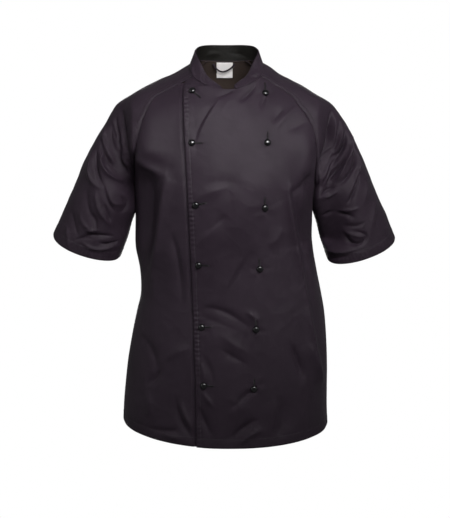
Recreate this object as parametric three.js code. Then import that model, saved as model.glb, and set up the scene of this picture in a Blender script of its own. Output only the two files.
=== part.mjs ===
// A short-sleeved, double-breasted chef jacket in black polycotton twill, filled out as it is when worn,
// with a band collar, raglan sleeves, two rows of domed stud buttons and side vents.
// Millimetres, +Z up, the front faces -Y and the wearer's left is +X.
// The origin is the middle of the neck, at the height where the shoulders meet the collar.
import * as THREE from "three";

// Driving dimensions
const CLOTH = 1.6; // thickness of a single wall of twill
const COLLAR_CLOTH = 2.2; // two layers and their interlining
const SEAM_GAP = 0.3; // between neighbouring pieces along a seam
const OVERLAP_LIFT = 2.9; // from the face of the front underneath to the face of the one that closes over it
const OVERLAP_FROM = 12; // between these distances from the middle the closing front rises from the jacket's
const OVERLAP_TO = -32; // own surface and the one under it comes up to it
const NECK_LEVEL = -8; // height of the neck seam at the side of the neck
const UNDERARM_LEVEL = -285;
const HEM_LEVEL = -778;
const VENT_TOP_LEVEL = -680; // the side vents run from here down to the hem
const VENT_HALF_OPENING_DEG = 1.2; // how far each vent edge stands back from the side, at the hem
const CORNER_DROP = 19; // how much lower a front's free corner is than its neck seam, in levels
const CORNER_FADE_LEVEL = -90; // that slope has died out at this level
const BUTTON_RADIUS = 7.2;
const BUTTON_HEIGHT = 6.4;
const LABEL_WIDTH = 35;
const LABEL_HEIGHT = 33;
const LOOP_WIDTH = 4;

// Columns of cloth quads round each panel, and rows below the underarm
const SIDE_COLUMNS = 11; // of a front, from its side to where it meets the edge of the other one
const OVERLAP_COLUMNS = 8; // and where the two lie over each other
const BACK_COLUMNS = 20;
const SLEEVE_COLUMNS = 24;
const ROWS_BELOW_UNDERARM = 15;
const ROWS_IN_TUBE = 9;
const COLLAR_COLUMNS = 46;
const COLLAR_ROWS = 3;

const degrees = THREE.MathUtils.degToRad;

// A table is read as a smooth curve for each named column, over its first column.
function table(columns, ...rows) {
  const sorted = rows.toSorted((a, b) => a[0] - b[0]);
  return { columns, at: sorted.map((row) => row[0]), rows: sorted };
}

function read(from, name, at) {
  const column = from.columns.indexOf(name);
  const last = from.at.length - 1;
  const x = THREE.MathUtils.clamp(at, from.at[0], from.at[last]);
  let i = 0;
  while (i < last - 1 && x > from.at[i + 1]) i += 1;
  const slope = (k) => {
    const a = Math.max(k - 1, 0);
    const b = Math.min(k + 1, last);
    return (from.rows[b][column] - from.rows[a][column]) / (from.at[b] - from.at[a]);
  };
  const span = from.at[i + 1] - from.at[i];
  const t = (x - from.at[i]) / span;
  const start = from.rows[i][column];
  const end = from.rows[i + 1][column];
  return (
    start * (1 + 2 * t) * (1 - t) ** 2 +
    span * slope(i) * t * (1 - t) ** 2 +
    end * t * t * (3 - 2 * t) -
    span * slope(i + 1) * t * t * (1 - t)
  );
}

function smoothStep(from, to, x) {
  const t = THREE.MathUtils.clamp((x - from) / (to - from), 0, 1);
  return t * t * (3 - 2 * t);
}

// Rings of the body. level is the height at the side; front and back are how far the ring reaches from the middle plane;
// middle is where the side lies, front to back; sway is the ring's shift to the wearer's left;
// frontDrop and backRise tilt the ring at the centre front and back, and leftDrop lowers it at the wearer's left;
// squareFront and squareBack are the exponents of its outline, where 2 is an ellipse.
const BODY = table(
  ["level", "halfWidth", "front", "back", "middle", "sway", "frontDrop", "backRise", "leftDrop", "squareFront", "squareBack"],
  [-8, 75.5, 74, 54, -6, 1.5, 49, 8.5, 0, 2.8, 2.0],
  [-18, 94, 82, 62, 0, 2.5, 48, 7, 0, 2.4, 2.0],
  [-31, 116.5, 90, 73, 4, 0, 46, 5, 0, 2.15, 2.0],
  [-43, 143.5, 97, 82, 6, -2, 44, 3, 0, 2.05, 2.0],
  [-56, 172, 103, 90, 7, -4, 41, 0, 0, 2.0, 2.0],
  [-70, 184, 108, 97, 7, -4, 38, 0, 0, 2.05, 2.05],
  [-90, 189, 114, 104, 7, -2, 33, 0, 0, 2.15, 2.15],
  [-118, 191, 121, 110, 6, 0, 26, 0, 0, 2.2, 2.2],
  [-145, 192, 127, 114, 5, 1, 19, 0, 0, 2.25, 2.25],
  [-175, 192, 132, 117, 4, 0, 12, 0, 0, 2.3, 2.3],
  [-205, 191, 136, 118, 3, -2, 6, 0, 0, 2.3, 2.3],
  [-235, 190, 138, 118, 2, -4, 2, 0, 0, 2.3, 2.3],
  [-285, 189, 138, 115, 0, -5, 0, 0, 0, 2.3, 2.3],
  [-328, 189, 136, 112, 0, -5, 0, 0, 0, 2.3, 2.3],
  [-389, 190, 133, 108, 0, -4, 0, 0, 0, 2.3, 2.3],
  [-441, 190, 132, 106, 0, 5, 0, 0, 0, 2.3, 2.3],
  [-494, 195, 134, 108, 0, 11, 0, 0, 0, 2.3, 2.3],
  [-534, 203, 137, 112, 0, 10, 0, 0, 0, 2.3, 2.3],
  [-587, 211, 141, 119, 0, 7, 0, 0, 0, 2.3, 2.3],
  [-655, 218, 146, 128, 0, 3, 3, 0, 0, 2.25, 2.25],
  [-736, 222, 150, 136, 0, -1, 11, -2, 2, 2.25, 2.25],
  [-778, 224, 153, 140, 0, -1, 20, -5, 5, 2.2, 2.2],
);

// The raglan sleeves from the neck (station 0) to the underarm (1), and their tubes from there to the cuff (2).
// level is the body ring that the sleeve is sewn to; seamFront and seamBack are how far out its two seams lie;
// topX, topY and topZ follow the shoulder line; lowX, lowY and lowZ the underarm seam; sway shifts both to the wearer's left,
// and leftDrop is how much lower the left sleeve hangs than the tables say, and the right one higher;
// leaveFront and leaveBack are the directions in which the cloth leaves its seams, from straight out towards the back;
// reach is how far those directions hold, and round how far the shoulder line's does; swing turns the lower rings.
const SLEEVE = table(
  ["station", "level", "seamFront", "seamBack", "topX", "topY", "topZ", "lowX", "lowY", "lowZ",
    "sway", "leftDrop", "leaveFront", "leaveBack", "reach", "round", "swing"],
  [0.0, -8, 69, 48, 75.5, -6, -8, 77, 0, -8, 1.5, 0, 60, -60, 12, 20, 0],
  [0.07, -18, 84, 61, 94, 0, -18, 94, 0, -18, 2.5, 0, 58, -58, 20, 28, 0],
  [0.14, -31, 103, 81, 117, 4, -31, 117, 0, -31, 0, 0, 55, -52, 28, 34, 0],
  [0.21, -43, 124, 99, 144, 6, -43, 144, 0, -43, -2, 0, 50, -46, 32, 38, 0],
  [0.28, -56, 143, 118, 172, 7, -56, 172, 0, -56, -4, 0, 42, -40, 36, 42, 0],
  [0.35, -70, 152, 132, 200, 8, -69, 180, 0, -70, -4, 0, 36, -34, 40, 44, 0],
  [0.43, -90, 163, 147, 223, 8, -84, 184, 0, -90, -3, 0, 30, -28, 42, 46, 0],
  [0.52, -118, 174, 160, 239, 8, -105, 187, 0, -118, -2, 0, 20, -20, 44, 50, 0],
  [0.6, -145, 181, 169, 255, 7, -130, 188, 0, -145, -1, 0, 8, -10, 48, 56, 0],
  [0.68, -175, 186, 177, 270, 6, -154, 189, 0, -175, -1, 0, -8, 6, 54, 64, 0],
  [0.76, -205, 188.2, 183, 283, 5, -179, 189, 0, -205, -2, 0, -28, 26, 62, 74, 0],
  [0.84, -235, 188.9, 187, 294, 4, -202, 189, 0, -235, -3, 0, -50, 48, 72, 84, 1],
  [0.92, -262, 189.2, 188.8, 303, 3, -222, 189, 0, -262, -4, 0, -72, 70, 84, 92, 2],
  [1.0, -285, 189, 189, 311, 2, -242, 189, 0, -285, -4, 0, -90, 90, 94, 96, 3],
  [1.33, -330, 189, 189, 328, 1, -282, 196, 0, -328, -4, 0, -90, 90, 92, 92, 8],
  [1.67, -370, 189, 189, 347, 0, -324, 206, 0, -371, -4, 1, -90, 90, 86, 86, 13],
  [2.0, -420, 189, 189, 368, -2, -370.5, 223, 0, -416.5, -4, 3.5, -90, 90, 82, 80, 17],
);

// The band collar, by angle round the neck from the centre front: its height, and how far it leans in from upright.
const COLLAR = table(
  ["angle", "height", "lean"],
  [8, 4, 60],
  [14, 10, 60],
  [25, 17, 62],
  [45, 24, 66],
  [60, 26, 58],
  [75, 26, 40],
  [90, 25, 26],
  [110, 27, 18],
  [130, 28.2, 13],
  [155, 30.2, 10],
  [180, 31, 9],
);
const COLLAR_STARTS_AT_LEFT = 12.5; // where its two ends stop short of the centre front, in degrees
const COLLAR_STARTS_AT_RIGHT = 8;

// How far each front's edge lies from the middle, by level. closing is the wearer's left front, which lies on top.
const EDGES = table(
  ["level", "closing", "under"],
  [-8, -85, 94],
  [-28, -87, 95],
  [-164, -82, 97],
  [-290, -76, 94],
  [-408, -71, 86],
  [-535, -67, 78],
  [-657, -63, 74],
  [-778, -61, 72],
);

// The two rows of buttons, from the neck down. The left one hangs a little lower.
const BUTTONS = [
  { right: { x: -69, z: -61 }, left: { x: 81, z: -66 } },
  { right: { x: -69, z: -164 }, left: { x: 84, z: -164 } },
  { right: { x: -61, z: -288 }, left: { x: 79, z: -295 } },
  { right: { x: -56, z: -413 }, left: { x: 69.5, z: -422 } },
  { right: { x: -50, z: -543 }, left: { x: 62, z: -548 } },
  { right: { x: -46, z: -664 }, left: { x: 58, z: -672 } },
];

// The largest folds. Each follows a bow through three places seen from the front or the back.
// height is positive for a ridge and negative for a trough; width is the distance to where it has fallen to a third.
const fold = (on, face, x0, z0, x1, z1, x2, z2, width, height) => ({ on, face, x0, z0, x1, z1, x2, z2, width, height });
const FOLDS = [
  fold("body", "front", -178, -165, -140, -215, -128, -235, 26, 4),
  fold("body", "front", -122, -225, -130, -300, -140, -420, 20, 8),
  fold("body", "front", -165, -225, -166, -300, -170, -400, 22, -9),
  fold("body", "front", 124, -250, 140, -400, 178, -610, 16, 8),
  fold("body", "front", 160, -260, 170, -400, 188, -540, 18, -6),
  fold("body", "front", 108, -280, 122, -430, 150, -610, 18, -5),
  fold("body", "front", -40, -240, 0, -232, 40, -250, 26, -5),
  fold("body", "front", 60, -640, 35, -680, 10, -720, 26, -4),
  fold("body", "front", -20, -520, 10, -560, 40, -590, 24, -5),
  fold("body", "front", -95, -690, -85, -735, -72, -780, 18, 4),
  fold("body", "back", -120, -230, -130, -400, -150, -760, 22, 7),
  fold("body", "back", 118, -240, 132, -420, 146, -770, 22, 7),
  fold("body", "back", -60, -420, -52, -600, -66, -790, 30, -6),
  fold("body", "back", 58, -440, 50, -610, 64, -790, 30, -6),
  fold("body", "back", -70, -300, 0, -330, 74, -296, 26, -5),
  fold("right", "front", -238, -120, -222, -190, -206, -262, 10, -7),
  fold("right", "front", -256, -128, -246, -200, -212, -276, 11, 6),
  fold("right", "front", -272, -150, -266, -220, -216, -304, 10, -6),
  fold("right", "front", -286, -180, -272, -260, -232, -330, 14, 6),
  fold("right", "front", -330, -372, -285, -392, -240, -388, 10, -4),
  fold("left", "front", 230, -122, 216, -190, 204, -262, 10, -7),
  fold("left", "front", 250, -132, 238, -196, 208, -268, 11, 6),
  fold("left", "front", 266, -156, 258, -222, 212, -300, 10, -6),
  fold("left", "front", 284, -186, 272, -262, 230, -336, 14, 6),
  fold("left", "front", 236, -398, 276, -392, 322, -360, 10, -4),
  fold("right", "back", -246, -130, -236, -200, -206, -270, 12, -6),
  fold("right", "back", -266, -160, -262, -230, -216, -310, 12, 6),
  fold("left", "back", 246, -134, 236, -204, 206, -272, 12, -6),
  fold("left", "back", 268, -164, 260, -236, 216, -312, 12, 6),
];
const FOLD_FREE_COLUMNS = 2.5; // folds grow from nothing at a seam to their full height over these columns
const FOLD_STEPS = 8;
const FOLD_FACING = 0.35; // a fold dies out where the cloth turns this far from its face

function foldHeight(on, point, normal) {
  let sum = 0;
  for (const f of FOLDS) {
    if (f.on !== on) continue;
    const facing = f.face === "front" ? -normal.y : normal.y;
    const seen = smoothStep(0, FOLD_FACING, facing);
    if (seen === 0) continue;
    let best = Infinity;
    let along = 0;
    for (let i = 0; i <= FOLD_STEPS; i += 1) {
      const t = i / FOLD_STEPS;
      const x = (1 - t) ** 2 * f.x0 + 2 * t * (1 - t) * f.x1 + t * t * f.x2;
      const z = (1 - t) ** 2 * f.z0 + 2 * t * (1 - t) * f.z1 + t * t * f.z2;
      const away = (point.x - x) ** 2 + (point.z - z) ** 2;
      if (away < best) {
        best = away;
        along = t;
      }
    }
    const taper = Math.sin(Math.PI * THREE.MathUtils.clamp(0.08 + along * 0.84, 0, 1));
    sum += seen * f.height * taper * Math.exp(-best / f.width ** 2);
  }
  return sum;
}

// A place on the body, by angle from the centre front (the wearer's left is positive) and level.
function bodyPoint(angle, level) {
  const sine = Math.sin(angle);
  const cosine = Math.cos(angle);
  const square = read(BODY, cosine > 0 ? "squareFront" : "squareBack", level);
  const reach = (Math.abs(sine) ** square + Math.abs(cosine) ** square) ** (-1 / square);
  const middle = read(BODY, "middle", level);
  const depth = cosine > 0 ? read(BODY, "front", level) + middle : read(BODY, "back", level) - middle;
  const frontDrop = read(BODY, "frontDrop", level);
  const backRise = read(BODY, "backRise", level);
  const tilt = -(frontDrop + backRise) / 2;
  const scoop = (backRise - frontDrop) / 2;
  return new THREE.Vector3(
    read(BODY, "sway", level) + read(BODY, "halfWidth", level) * reach * sine,
    middle - depth * reach * cosine,
    level + tilt * cosine + scoop * cosine * cosine - read(BODY, "leftDrop", level) * sine,
  );
}

const NUDGE = 1e-3;

function bodyNormal(angle, level) {
  const here = bodyPoint(angle, level);
  const round = bodyPoint(angle + NUDGE, level).sub(here);
  const down = bodyPoint(angle, level - 1).sub(here);
  return down.cross(round).normalize();
}

// The angle at which the body's ring reaches a given distance out from its own middle line.
function angleAt(distance, level, face) {
  const sway = read(BODY, "sway", level);
  let low = 0;
  let high = Math.PI / 2;
  for (let i = 0; i < 40; i += 1) {
    const tried = (low + high) / 2;
    if (bodyPoint(tried, level).x - sway < distance) low = tried;
    else high = tried;
  }
  return face === "front" ? low : Math.PI - low;
}

// The sleeve's station for a level between the neck and the underarm.
function stationOf(level) {
  let low = 0;
  let high = 1;
  for (let i = 0; i < 40; i += 1) {
    const tried = (low + high) / 2;
    if (read(SLEEVE, "level", tried) > level) low = tried;
    else high = tried;
  }
  return low;
}

// The angle of the seam at a body panel's side: the raglan seam above the underarm, the side seam and its vent below.
function seamAngle(level, face) {
  if (level > UNDERARM_LEVEL) {
    const distance = read(SLEEVE, face === "front" ? "seamFront" : "seamBack", stationOf(level));
    const ease = smoothStep(UNDERARM_LEVEL + 40, UNDERARM_LEVEL, level);
    return THREE.MathUtils.lerp(angleAt(distance, level, face), Math.PI / 2, ease);
  }
  const vent = degrees(VENT_HALF_OPENING_DEG) * smoothStep(VENT_TOP_LEVEL, HEM_LEVEL, level);
  return face === "front" ? Math.PI / 2 - vent : Math.PI / 2 + vent;
}

// The angle of a front's free edge, a given distance from the middle plane.
function edgeAngle(distance, level) {
  const offset = distance - read(BODY, "sway", level);
  return Math.sign(offset) * angleAt(Math.abs(offset), level, "front");
}

// A place on a body panel. lift moves it out from the jacket's own surface; folded is how much of the folds it takes.
function clothPoint(angle, level, lift, folded = 1) {
  const point = bodyPoint(angle, level);
  const normal = bodyNormal(angle, level);
  return point.clone().addScaledVector(normal, lift + folded * foldHeight("body", point, normal));
}

// One half of a sleeve's section, as a cubic from a seam over to the shoulder line.
function bow(seam, leave, top, arrive, t) {
  const p1 = seam.clone().add(leave);
  const p2 = top.clone().add(arrive);
  return new THREE.CubicBezierCurve3(seam, p1, p2, top).getPoint(t);
}

// A place on a sleeve. across runs from the front seam (0) over the shoulder line (0.5) to the back seam (1).
function sleeveBase(side, across, station) {
  const value = (name) => read(SLEEVE, name, station);
  const onTube = station >= 1;
  const level = Math.max(value("level"), UNDERARM_LEVEL);
  const face = across <= 0.5 ? "front" : "back";
  const towards = face === "front" ? -1 : 1;
  const t = face === "front" ? across * 2 : (1 - across) * 2;
  const top = new THREE.Vector3(side * value("topX") + value("sway"), value("topY"), value("topZ") - side * value("leftDrop"));
  const seamTurn = seamAngle(Math.max(level, UNDERARM_LEVEL), face);
  const seam = onTube
    ? new THREE.Vector3(side * value("lowX") + value("sway"), value("lowY"), value("lowZ") - side * value("leftDrop"))
    : bodyPoint(side * seamTurn, level);
  if (onTube) {
    const join = bodyPoint(side * (Math.PI / 2), UNDERARM_LEVEL);
    const start = new THREE.Vector3(side * read(SLEEVE, "lowX", 1) + value("sway"), read(SLEEVE, "lowY", 1), UNDERARM_LEVEL);
    seam.addScaledVector(join.sub(start), 1 - smoothStep(1, 1.6, station));
  }
  const out = degrees(value(face === "front" ? "leaveFront" : "leaveBack"));
  const swing = degrees(value("swing"));
  const rise = (top.z - seam.z) / Math.max(Math.abs(top.x - seam.x), 1);
  const leave = new THREE.Vector3(
    side * Math.cos(out),
    Math.sin(out) * Math.cos(swing),
    Math.cos(out) * rise - (face === "front" ? 1 : -1) * Math.abs(Math.sin(out)) * Math.sin(swing),
  ).multiplyScalar(value("reach"));
  const arrive = new THREE.Vector3(0, towards * Math.cos(swing), towards * Math.sin(swing)).multiplyScalar(value("round"));
  const bowed = bow(seam, leave, top, arrive, t);
  const ringShare = onTube ? 0 : 1 - smoothStep(0.1, 0.5, station);
  if (ringShare === 0) return bowed;
  const turn = THREE.MathUtils.lerp(seamTurn, Math.PI / 2, t);
  const ringed = bodyPoint(side * turn, level);
  return bowed.lerp(ringed, ringShare);
}

// The normals of a grid of points, facing away from a point inside.
function gridNormals(grid, inside) {
  const normals = grid.map((row) => row.map(() => new THREE.Vector3()));
  for (let r = 0; r + 1 < grid.length; r += 1) {
    for (let c = 0; c + 1 < grid[0].length; c += 1) {
      const first = grid[r + 1][c + 1].clone().sub(grid[r][c]);
      const faceNormal = first.cross(grid[r + 1][c].clone().sub(grid[r][c + 1]));
      for (const [i, k] of [[r, c], [r, c + 1], [r + 1, c + 1], [r + 1, c]]) normals[i][k].add(faceNormal);
    }
  }
  const [r, c] = [grid.length >> 1, grid[0].length >> 1];
  const turned = normals[r][c].dot(grid[r][c].clone().sub(inside)) < 0;
  for (const normal of normals.flat()) normal.normalize().multiplyScalar(turned ? -1 : 1);
  return { normals, turned };
}

// A piece of cloth: the grid of its outer face, the way each point faces, and its thickness.
function piece(name, grid, thickness, inside, material) {
  return { name, grid, thickness, material, ...gridNormals(grid, inside) };
}

// Turns a piece into a closed wall.
function wall({ name, grid, thickness, material, normals, turned }) {
  const rows = grid.length;
  const columns = grid[0].length;
  const count = rows * columns;
  const index = (r, c) => r * columns + c;
  const outer = grid.flat();
  const inner = outer.map((p, i) => p.clone().addScaledVector(normals.flat()[i], -thickness));
  const triangles = [];
  const quad = (a, b, c, d) => triangles.push(a, b, c, a, c, d);
  const strip = (a, b) => quad(b, a, count + a, count + b);
  for (let r = 0; r + 1 < rows; r += 1) {
    for (let c = 0; c + 1 < columns; c += 1) {
      const corners = [index(r, c), index(r, c + 1), index(r + 1, c + 1), index(r + 1, c)];
      quad(...corners);
      quad(...corners.toReversed().map((i) => count + i));
    }
  }
  for (let c = 0; c + 1 < columns; c += 1) {
    strip(index(0, c), index(0, c + 1));
    strip(index(rows - 1, c + 1), index(rows - 1, c));
  }
  for (let r = 0; r + 1 < rows; r += 1) {
    strip(index(r + 1, 0), index(r, 0));
    strip(index(r, columns - 1), index(r + 1, columns - 1));
  }
  if (turned) triangles.reverse();
  const geometry = new THREE.BufferGeometry();
  const positions = [...outer, ...inner].flatMap((p) => p.toArray());
  geometry.setAttribute("position", new THREE.Float32BufferAttribute(positions, 3));
  geometry.setIndex(triangles);
  geometry.computeVertexNormals();
  const mesh = new THREE.Mesh(geometry, material);
  mesh.name = name;
  return mesh;
}

// Joins two edges that are sewn together. A column is 0 or -1, the first or last of its piece.
// The edges part by the seam gap, and they face the same way so that the gap stays even through the cloth;
// where the seam is folded tight, as under the arm, the two walls part by themselves.
const TIGHT_SEAM = 0.35;
function sew(one, oneColumn, other, otherColumn, from, to) {
  const inwards = (made, row, column) => {
    const [edge, next] = [made.grid[row].at(column), made.grid[row].at(column === 0 ? 1 : -2)];
    return next.clone().sub(edge).normalize();
  };
  for (let r = from; r <= to; r += 1) {
    const apart = inwards(other, r, otherColumn).sub(inwards(one, r, oneColumn)).setLength(SEAM_GAP * 0.55);
    one.grid[r].at(oneColumn).sub(apart);
    other.grid[r].at(otherColumn).add(apart);
    const a = one.normals[r].at(oneColumn);
    const b = other.normals[r].at(otherColumn);
    if (a.dot(b) < TIGHT_SEAM) continue;
    const shared = a.clone().add(b).normalize();
    a.copy(shared);
    b.copy(shared);
  }
}

// Lowers the top row of a grid a little, to leave the gap of the neck seam.
function lowerTop(grid) {
  grid[0].forEach((p, c) => p.addScaledVector(grid[1][c].clone().sub(p).normalize(), SEAM_GAP * 0.5));
}

function spread(from, to, count) {
  return Array.from({ length: count + 1 }, (_, i) => from + ((to - from) * i) / count);
}

const SEAM_LEVELS = SLEEVE.rows.filter((row) => row[0] <= 1).map((row) => row[1]);
const LEVELS = [...SEAM_LEVELS, ...spread(UNDERARM_LEVEL, HEM_LEVEL, ROWS_BELOW_UNDERARM).slice(1)];

const twill = new THREE.MeshStandardMaterial({ color: 0x2b272c, roughness: 0.82, metalness: 0 });
const gloss = new THREE.MeshStandardMaterial({ color: 0x0b0b0d, roughness: 0.18, metalness: 0 });
const satin = new THREE.MeshStandardMaterial({ color: 0xece9ea, roughness: 0.6, metalness: 0 });

const BODY_AXIS = new THREE.Vector3(0, 0, -500);
const BEHIND_NECK = new THREE.Vector3(0, 200, -10); // the collar and the loop are given by the faces turned away from here

// How far the cloth of a front is lifted from the jacket's own surface, to close over the other one or go under it.
function overlapLift(x, closes) {
  const share = smoothStep(OVERLAP_FROM, OVERLAP_TO, x);
  return OVERLAP_LIFT * (closes ? share : share - 1);
}

// How far a front's rows have dropped at its free edge, in levels, so that its top corner lies low.
function cornerDrop(level) {
  const upTo = (level - CORNER_FADE_LEVEL) / (NECK_LEVEL - CORNER_FADE_LEVEL);
  return CORNER_DROP * THREE.MathUtils.clamp(upTo, 0, 1) ** 1.2;
}

// A front panel, from its side or raglan seam to its free edge. side is 1 on the wearer's left, whose front closes over.
// Where the two fronts overlap they share the angles of their columns, so that one follows the other.
function frontPanel(name, side, ownEdge, otherEdge) {
  const closes = ownEdge === "closing";
  const grid = LEVELS.map((level) => {
    const drop = cornerDrop(level);
    const seam = side * seamAngle(level, "front");
    const own = edgeAngle(read(EDGES, ownEdge, level), level - drop);
    const other = edgeAngle(read(EDGES, otherEdge, level), level - drop);
    const angles = [...spread(seam, other, SIDE_COLUMNS), ...spread(other, own, OVERLAP_COLUMNS).slice(1)];
    return angles.map((angle, c) => {
      const lowered = level - drop * Math.max(angle / own, 0) ** 4;
      return clothPoint(angle, lowered, overlapLift(bodyPoint(angle, lowered).x, closes), smoothStep(0, FOLD_FREE_COLUMNS, c));
    });
  });
  lowerTop(grid);
  return piece(name, grid, CLOTH, BODY_AXIS, twill);
}

function backPanel() {
  const grid = LEVELS.map((level) => {
    const seam = seamAngle(level, "back");
    return spread(seam, 2 * Math.PI - seam, BACK_COLUMNS).map((angle, c) =>
      clothPoint(angle, level, 0, smoothStep(0, FOLD_FREE_COLUMNS, Math.min(c, BACK_COLUMNS - c))));
  });
  lowerTop(grid);
  return piece("back", grid, CLOTH, BODY_AXIS, twill);
}

function sleeve(name, side, on) {
  const raglanStations = SLEEVE.rows.filter((row) => row[0] < 1).map((row) => row[0]);
  const stations = [...raglanStations, ...spread(1, 2, ROWS_IN_TUBE)];
  const acrosses = spread(0, 1, SLEEVE_COLUMNS);
  const base = stations.map((station) => acrosses.map((across) => sleeveBase(side, across, station)));
  const grid = base.map((row, r) =>
    row.map((point, c) => {
      const last = stations.length - 1;
      const along = base[Math.min(r + 1, last)][c].clone().sub(base[Math.max(r - 1, 0)][c]);
      const round = row[Math.min(c + 1, SLEEVE_COLUMNS)].clone().sub(row[Math.max(c - 1, 0)]);
      const normal = along.cross(round).normalize().multiplyScalar(-side);
      const fromSeam = Math.min(acrosses[c], 1 - acrosses[c]);
      const height = foldHeight(on, point, normal) * smoothStep(0, FOLD_FREE_COLUMNS / SLEEVE_COLUMNS, fromSeam);
      return point.clone().addScaledVector(normal, height);
    }),
  );
  lowerTop(grid);
  const middleRow = base[stations.length - 4];
  const inside = middleRow[0].clone().add(middleRow[SLEEVE_COLUMNS / 2]).multiplyScalar(0.5);
  return piece(name, grid, CLOTH, inside, twill);
}

// The direction in which the collar stands up from the neck seam.
function collarUp(angle) {
  const away = Math.abs(angle) * THREE.MathUtils.RAD2DEG;
  const lean = degrees(read(COLLAR, "lean", away));
  const seam = bodyPoint(angle, NECK_LEVEL);
  const inwards = new THREE.Vector3(3 - seam.x, -10 - seam.y, 0).normalize(); // towards the middle of the neck
  return inwards.multiplyScalar(Math.sin(lean)).add(new THREE.Vector3(0, 0, Math.cos(lean)));
}

function collar() {
  const angles = spread(degrees(COLLAR_STARTS_AT_LEFT), degrees(360 - COLLAR_STARTS_AT_RIGHT), COLLAR_COLUMNS);
  const grid = spread(0, 1, COLLAR_ROWS).map((t) =>
    angles.map((turn) => {
      const angle = turn > Math.PI ? turn - 2 * Math.PI : turn;
      const height = read(COLLAR, "height", Math.abs(angle) * THREE.MathUtils.RAD2DEG);
      return bodyPoint(angle, NECK_LEVEL).addScaledVector(collarUp(angle), SEAM_GAP * 1.8 + t * height);
    }),
  );
  return piece("collar", grid, COLLAR_CLOTH, BEHIND_NECK, twill);
}

// A domed stud button, seated on the closing front where it is met from straight ahead.
const BUTTON_SIDES = 14;
const BUTTON_PROFILE = [
  [0, 0],
  [0.86, 0],
  [1, 0.18],
  [0.9, 0.62],
  [0.52, 0.92],
  [0, 1],
];

const SEAT_SAMPLES = 8; // places round its rim where the cloth must not stand higher
function button(name, x, z, front) {
  const meet = (atX, atZ) => new THREE.Raycaster(new THREE.Vector3(atX, -400, atZ), new THREE.Vector3(0, 1, 0)).intersectObject(front)[0];
  const seat = meet(x, z);
  const normal = seat.face.normal;
  const rim = BUTTON_PROFILE[1][0] * BUTTON_RADIUS;
  const rises = spread(0, 2 * Math.PI, SEAT_SAMPLES).map((turn) =>
    meet(x + rim * Math.cos(turn), z + rim * Math.sin(turn)).point.sub(seat.point).dot(normal));
  const profile = BUTTON_PROFILE.map(([r, h]) => new THREE.Vector2(r * BUTTON_RADIUS, h * BUTTON_HEIGHT));
  const mesh = new THREE.Mesh(new THREE.LatheGeometry(profile, BUTTON_SIDES), gloss);
  mesh.name = name;
  mesh.position.copy(seat.point).addScaledVector(normal, SEAM_GAP + Math.max(0, ...rises));
  mesh.quaternion.setFromUnitVectors(new THREE.Vector3(0, 1, 0), normal);
  return mesh;
}

// The woven label, blank, sewn in at the back neck seam.
const LABEL_MIDDLE = -3;
const LABEL_TOP_DROP = 1;
function label() {
  const inwards = CLOTH + SEAM_GAP * 2;
  const grid = spread(0, 1, 4).map((down) =>
    spread(-0.5, 0.5, 4).map((across) => {
      const x = LABEL_MIDDLE + across * LABEL_WIDTH;
      const z = -LABEL_TOP_DROP - down * LABEL_HEIGHT;
      const level = backLevelAt(x, z);
      const angle = backAngle(x, level);
      return clothPoint(angle, level, -inwards);
    }),
  );
  return piece("label", grid, 1, BODY_AXIS, satin);
}

function backAngle(x, level) {
  const offset = x - read(BODY, "sway", level);
  return Math.PI - Math.sign(offset) * angleAt(Math.abs(offset), level, "front");
}

function backLevelAt(x, z) {
  let low = UNDERARM_LEVEL;
  let high = NECK_LEVEL;
  for (let i = 0; i < 40; i += 1) {
    const tried = (low + high) / 2;
    if (bodyPoint(backAngle(x, tried), tried).z < z) low = tried;
    else high = tried;
  }
  return low;
}

// The hanger loop, a narrow strip sewn in at both ends of its span and sagging in front of the label.
const LOOP_LEFT = -28;
const LOOP_RIGHT = 20;
const LOOP_SAG = 13;
const LOOP_STEPS = 12;
function hangerLoop() {
  const path = spread(0, 1, LOOP_STEPS).map((t) => {
    const x = THREE.MathUtils.lerp(LOOP_LEFT, LOOP_RIGHT, t);
    const z = -4 - LOOP_SAG * Math.sin(Math.PI * t ** 0.8) ** 0.8;
    const forward = 1 + SEAM_GAP * 2 + 6 * Math.sin(Math.PI * t) ** 0.6;
    const level = backLevelAt(x, z);
    const angle = backAngle(x, level);
    return clothPoint(angle, level, -CLOTH - forward);
  });
  const grid = path.map((p, i) => {
    const along = path[Math.min(i + 1, LOOP_STEPS)].clone().sub(path[Math.max(i - 1, 0)]).normalize();
    const acrossWay = new THREE.Vector3(-along.z, 0, along.x).normalize();
    return [-0.5, 0, 0.5].map((s) => p.clone().addScaledVector(acrossWay, s * LOOP_WIDTH));
  });
  return piece("hanger_loop", grid, 1, BEHIND_NECK, twill);
}

const UNDERARM_ROW = SEAM_LEVELS.length - 1;
const HEM_ROW = LEVELS.length - 1;
const CUFF_ROW = UNDERARM_ROW + ROWS_IN_TUBE;
const frontRight = frontPanel("front_right", -1, "under", "closing");
const frontLeft = frontPanel("front_left", 1, "closing", "under");
const back = backPanel();
const sleeveRight = sleeve("sleeve_right", -1, "right");
const sleeveLeft = sleeve("sleeve_left", 1, "left");
for (const [front, backColumn, onSide] of [[frontLeft, 0, sleeveLeft], [frontRight, -1, sleeveRight]]) {
  sew(front, 0, onSide, 0, 0, UNDERARM_ROW);
  sew(back, backColumn, onSide, -1, 0, UNDERARM_ROW);
  sew(front, 0, back, backColumn, UNDERARM_ROW, HEM_ROW);
  sew(onSide, 0, onSide, -1, UNDERARM_ROW, CUFF_ROW);
}

const jacket = new THREE.Group();
const frontLeftCloth = wall(frontLeft);
jacket.add(frontLeftCloth);
for (const made of [frontRight, back, sleeveRight, sleeveLeft, collar(), label(), hangerLoop()]) {
  jacket.add(wall(made));
}
BUTTONS.forEach((row, i) => {
  for (const [side, place] of Object.entries(row)) {
    jacket.add(button(`button_${side}_${i + 1}`, place.x, place.z, frontLeftCloth));
  }
});

export default jacket;
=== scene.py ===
import math

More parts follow.
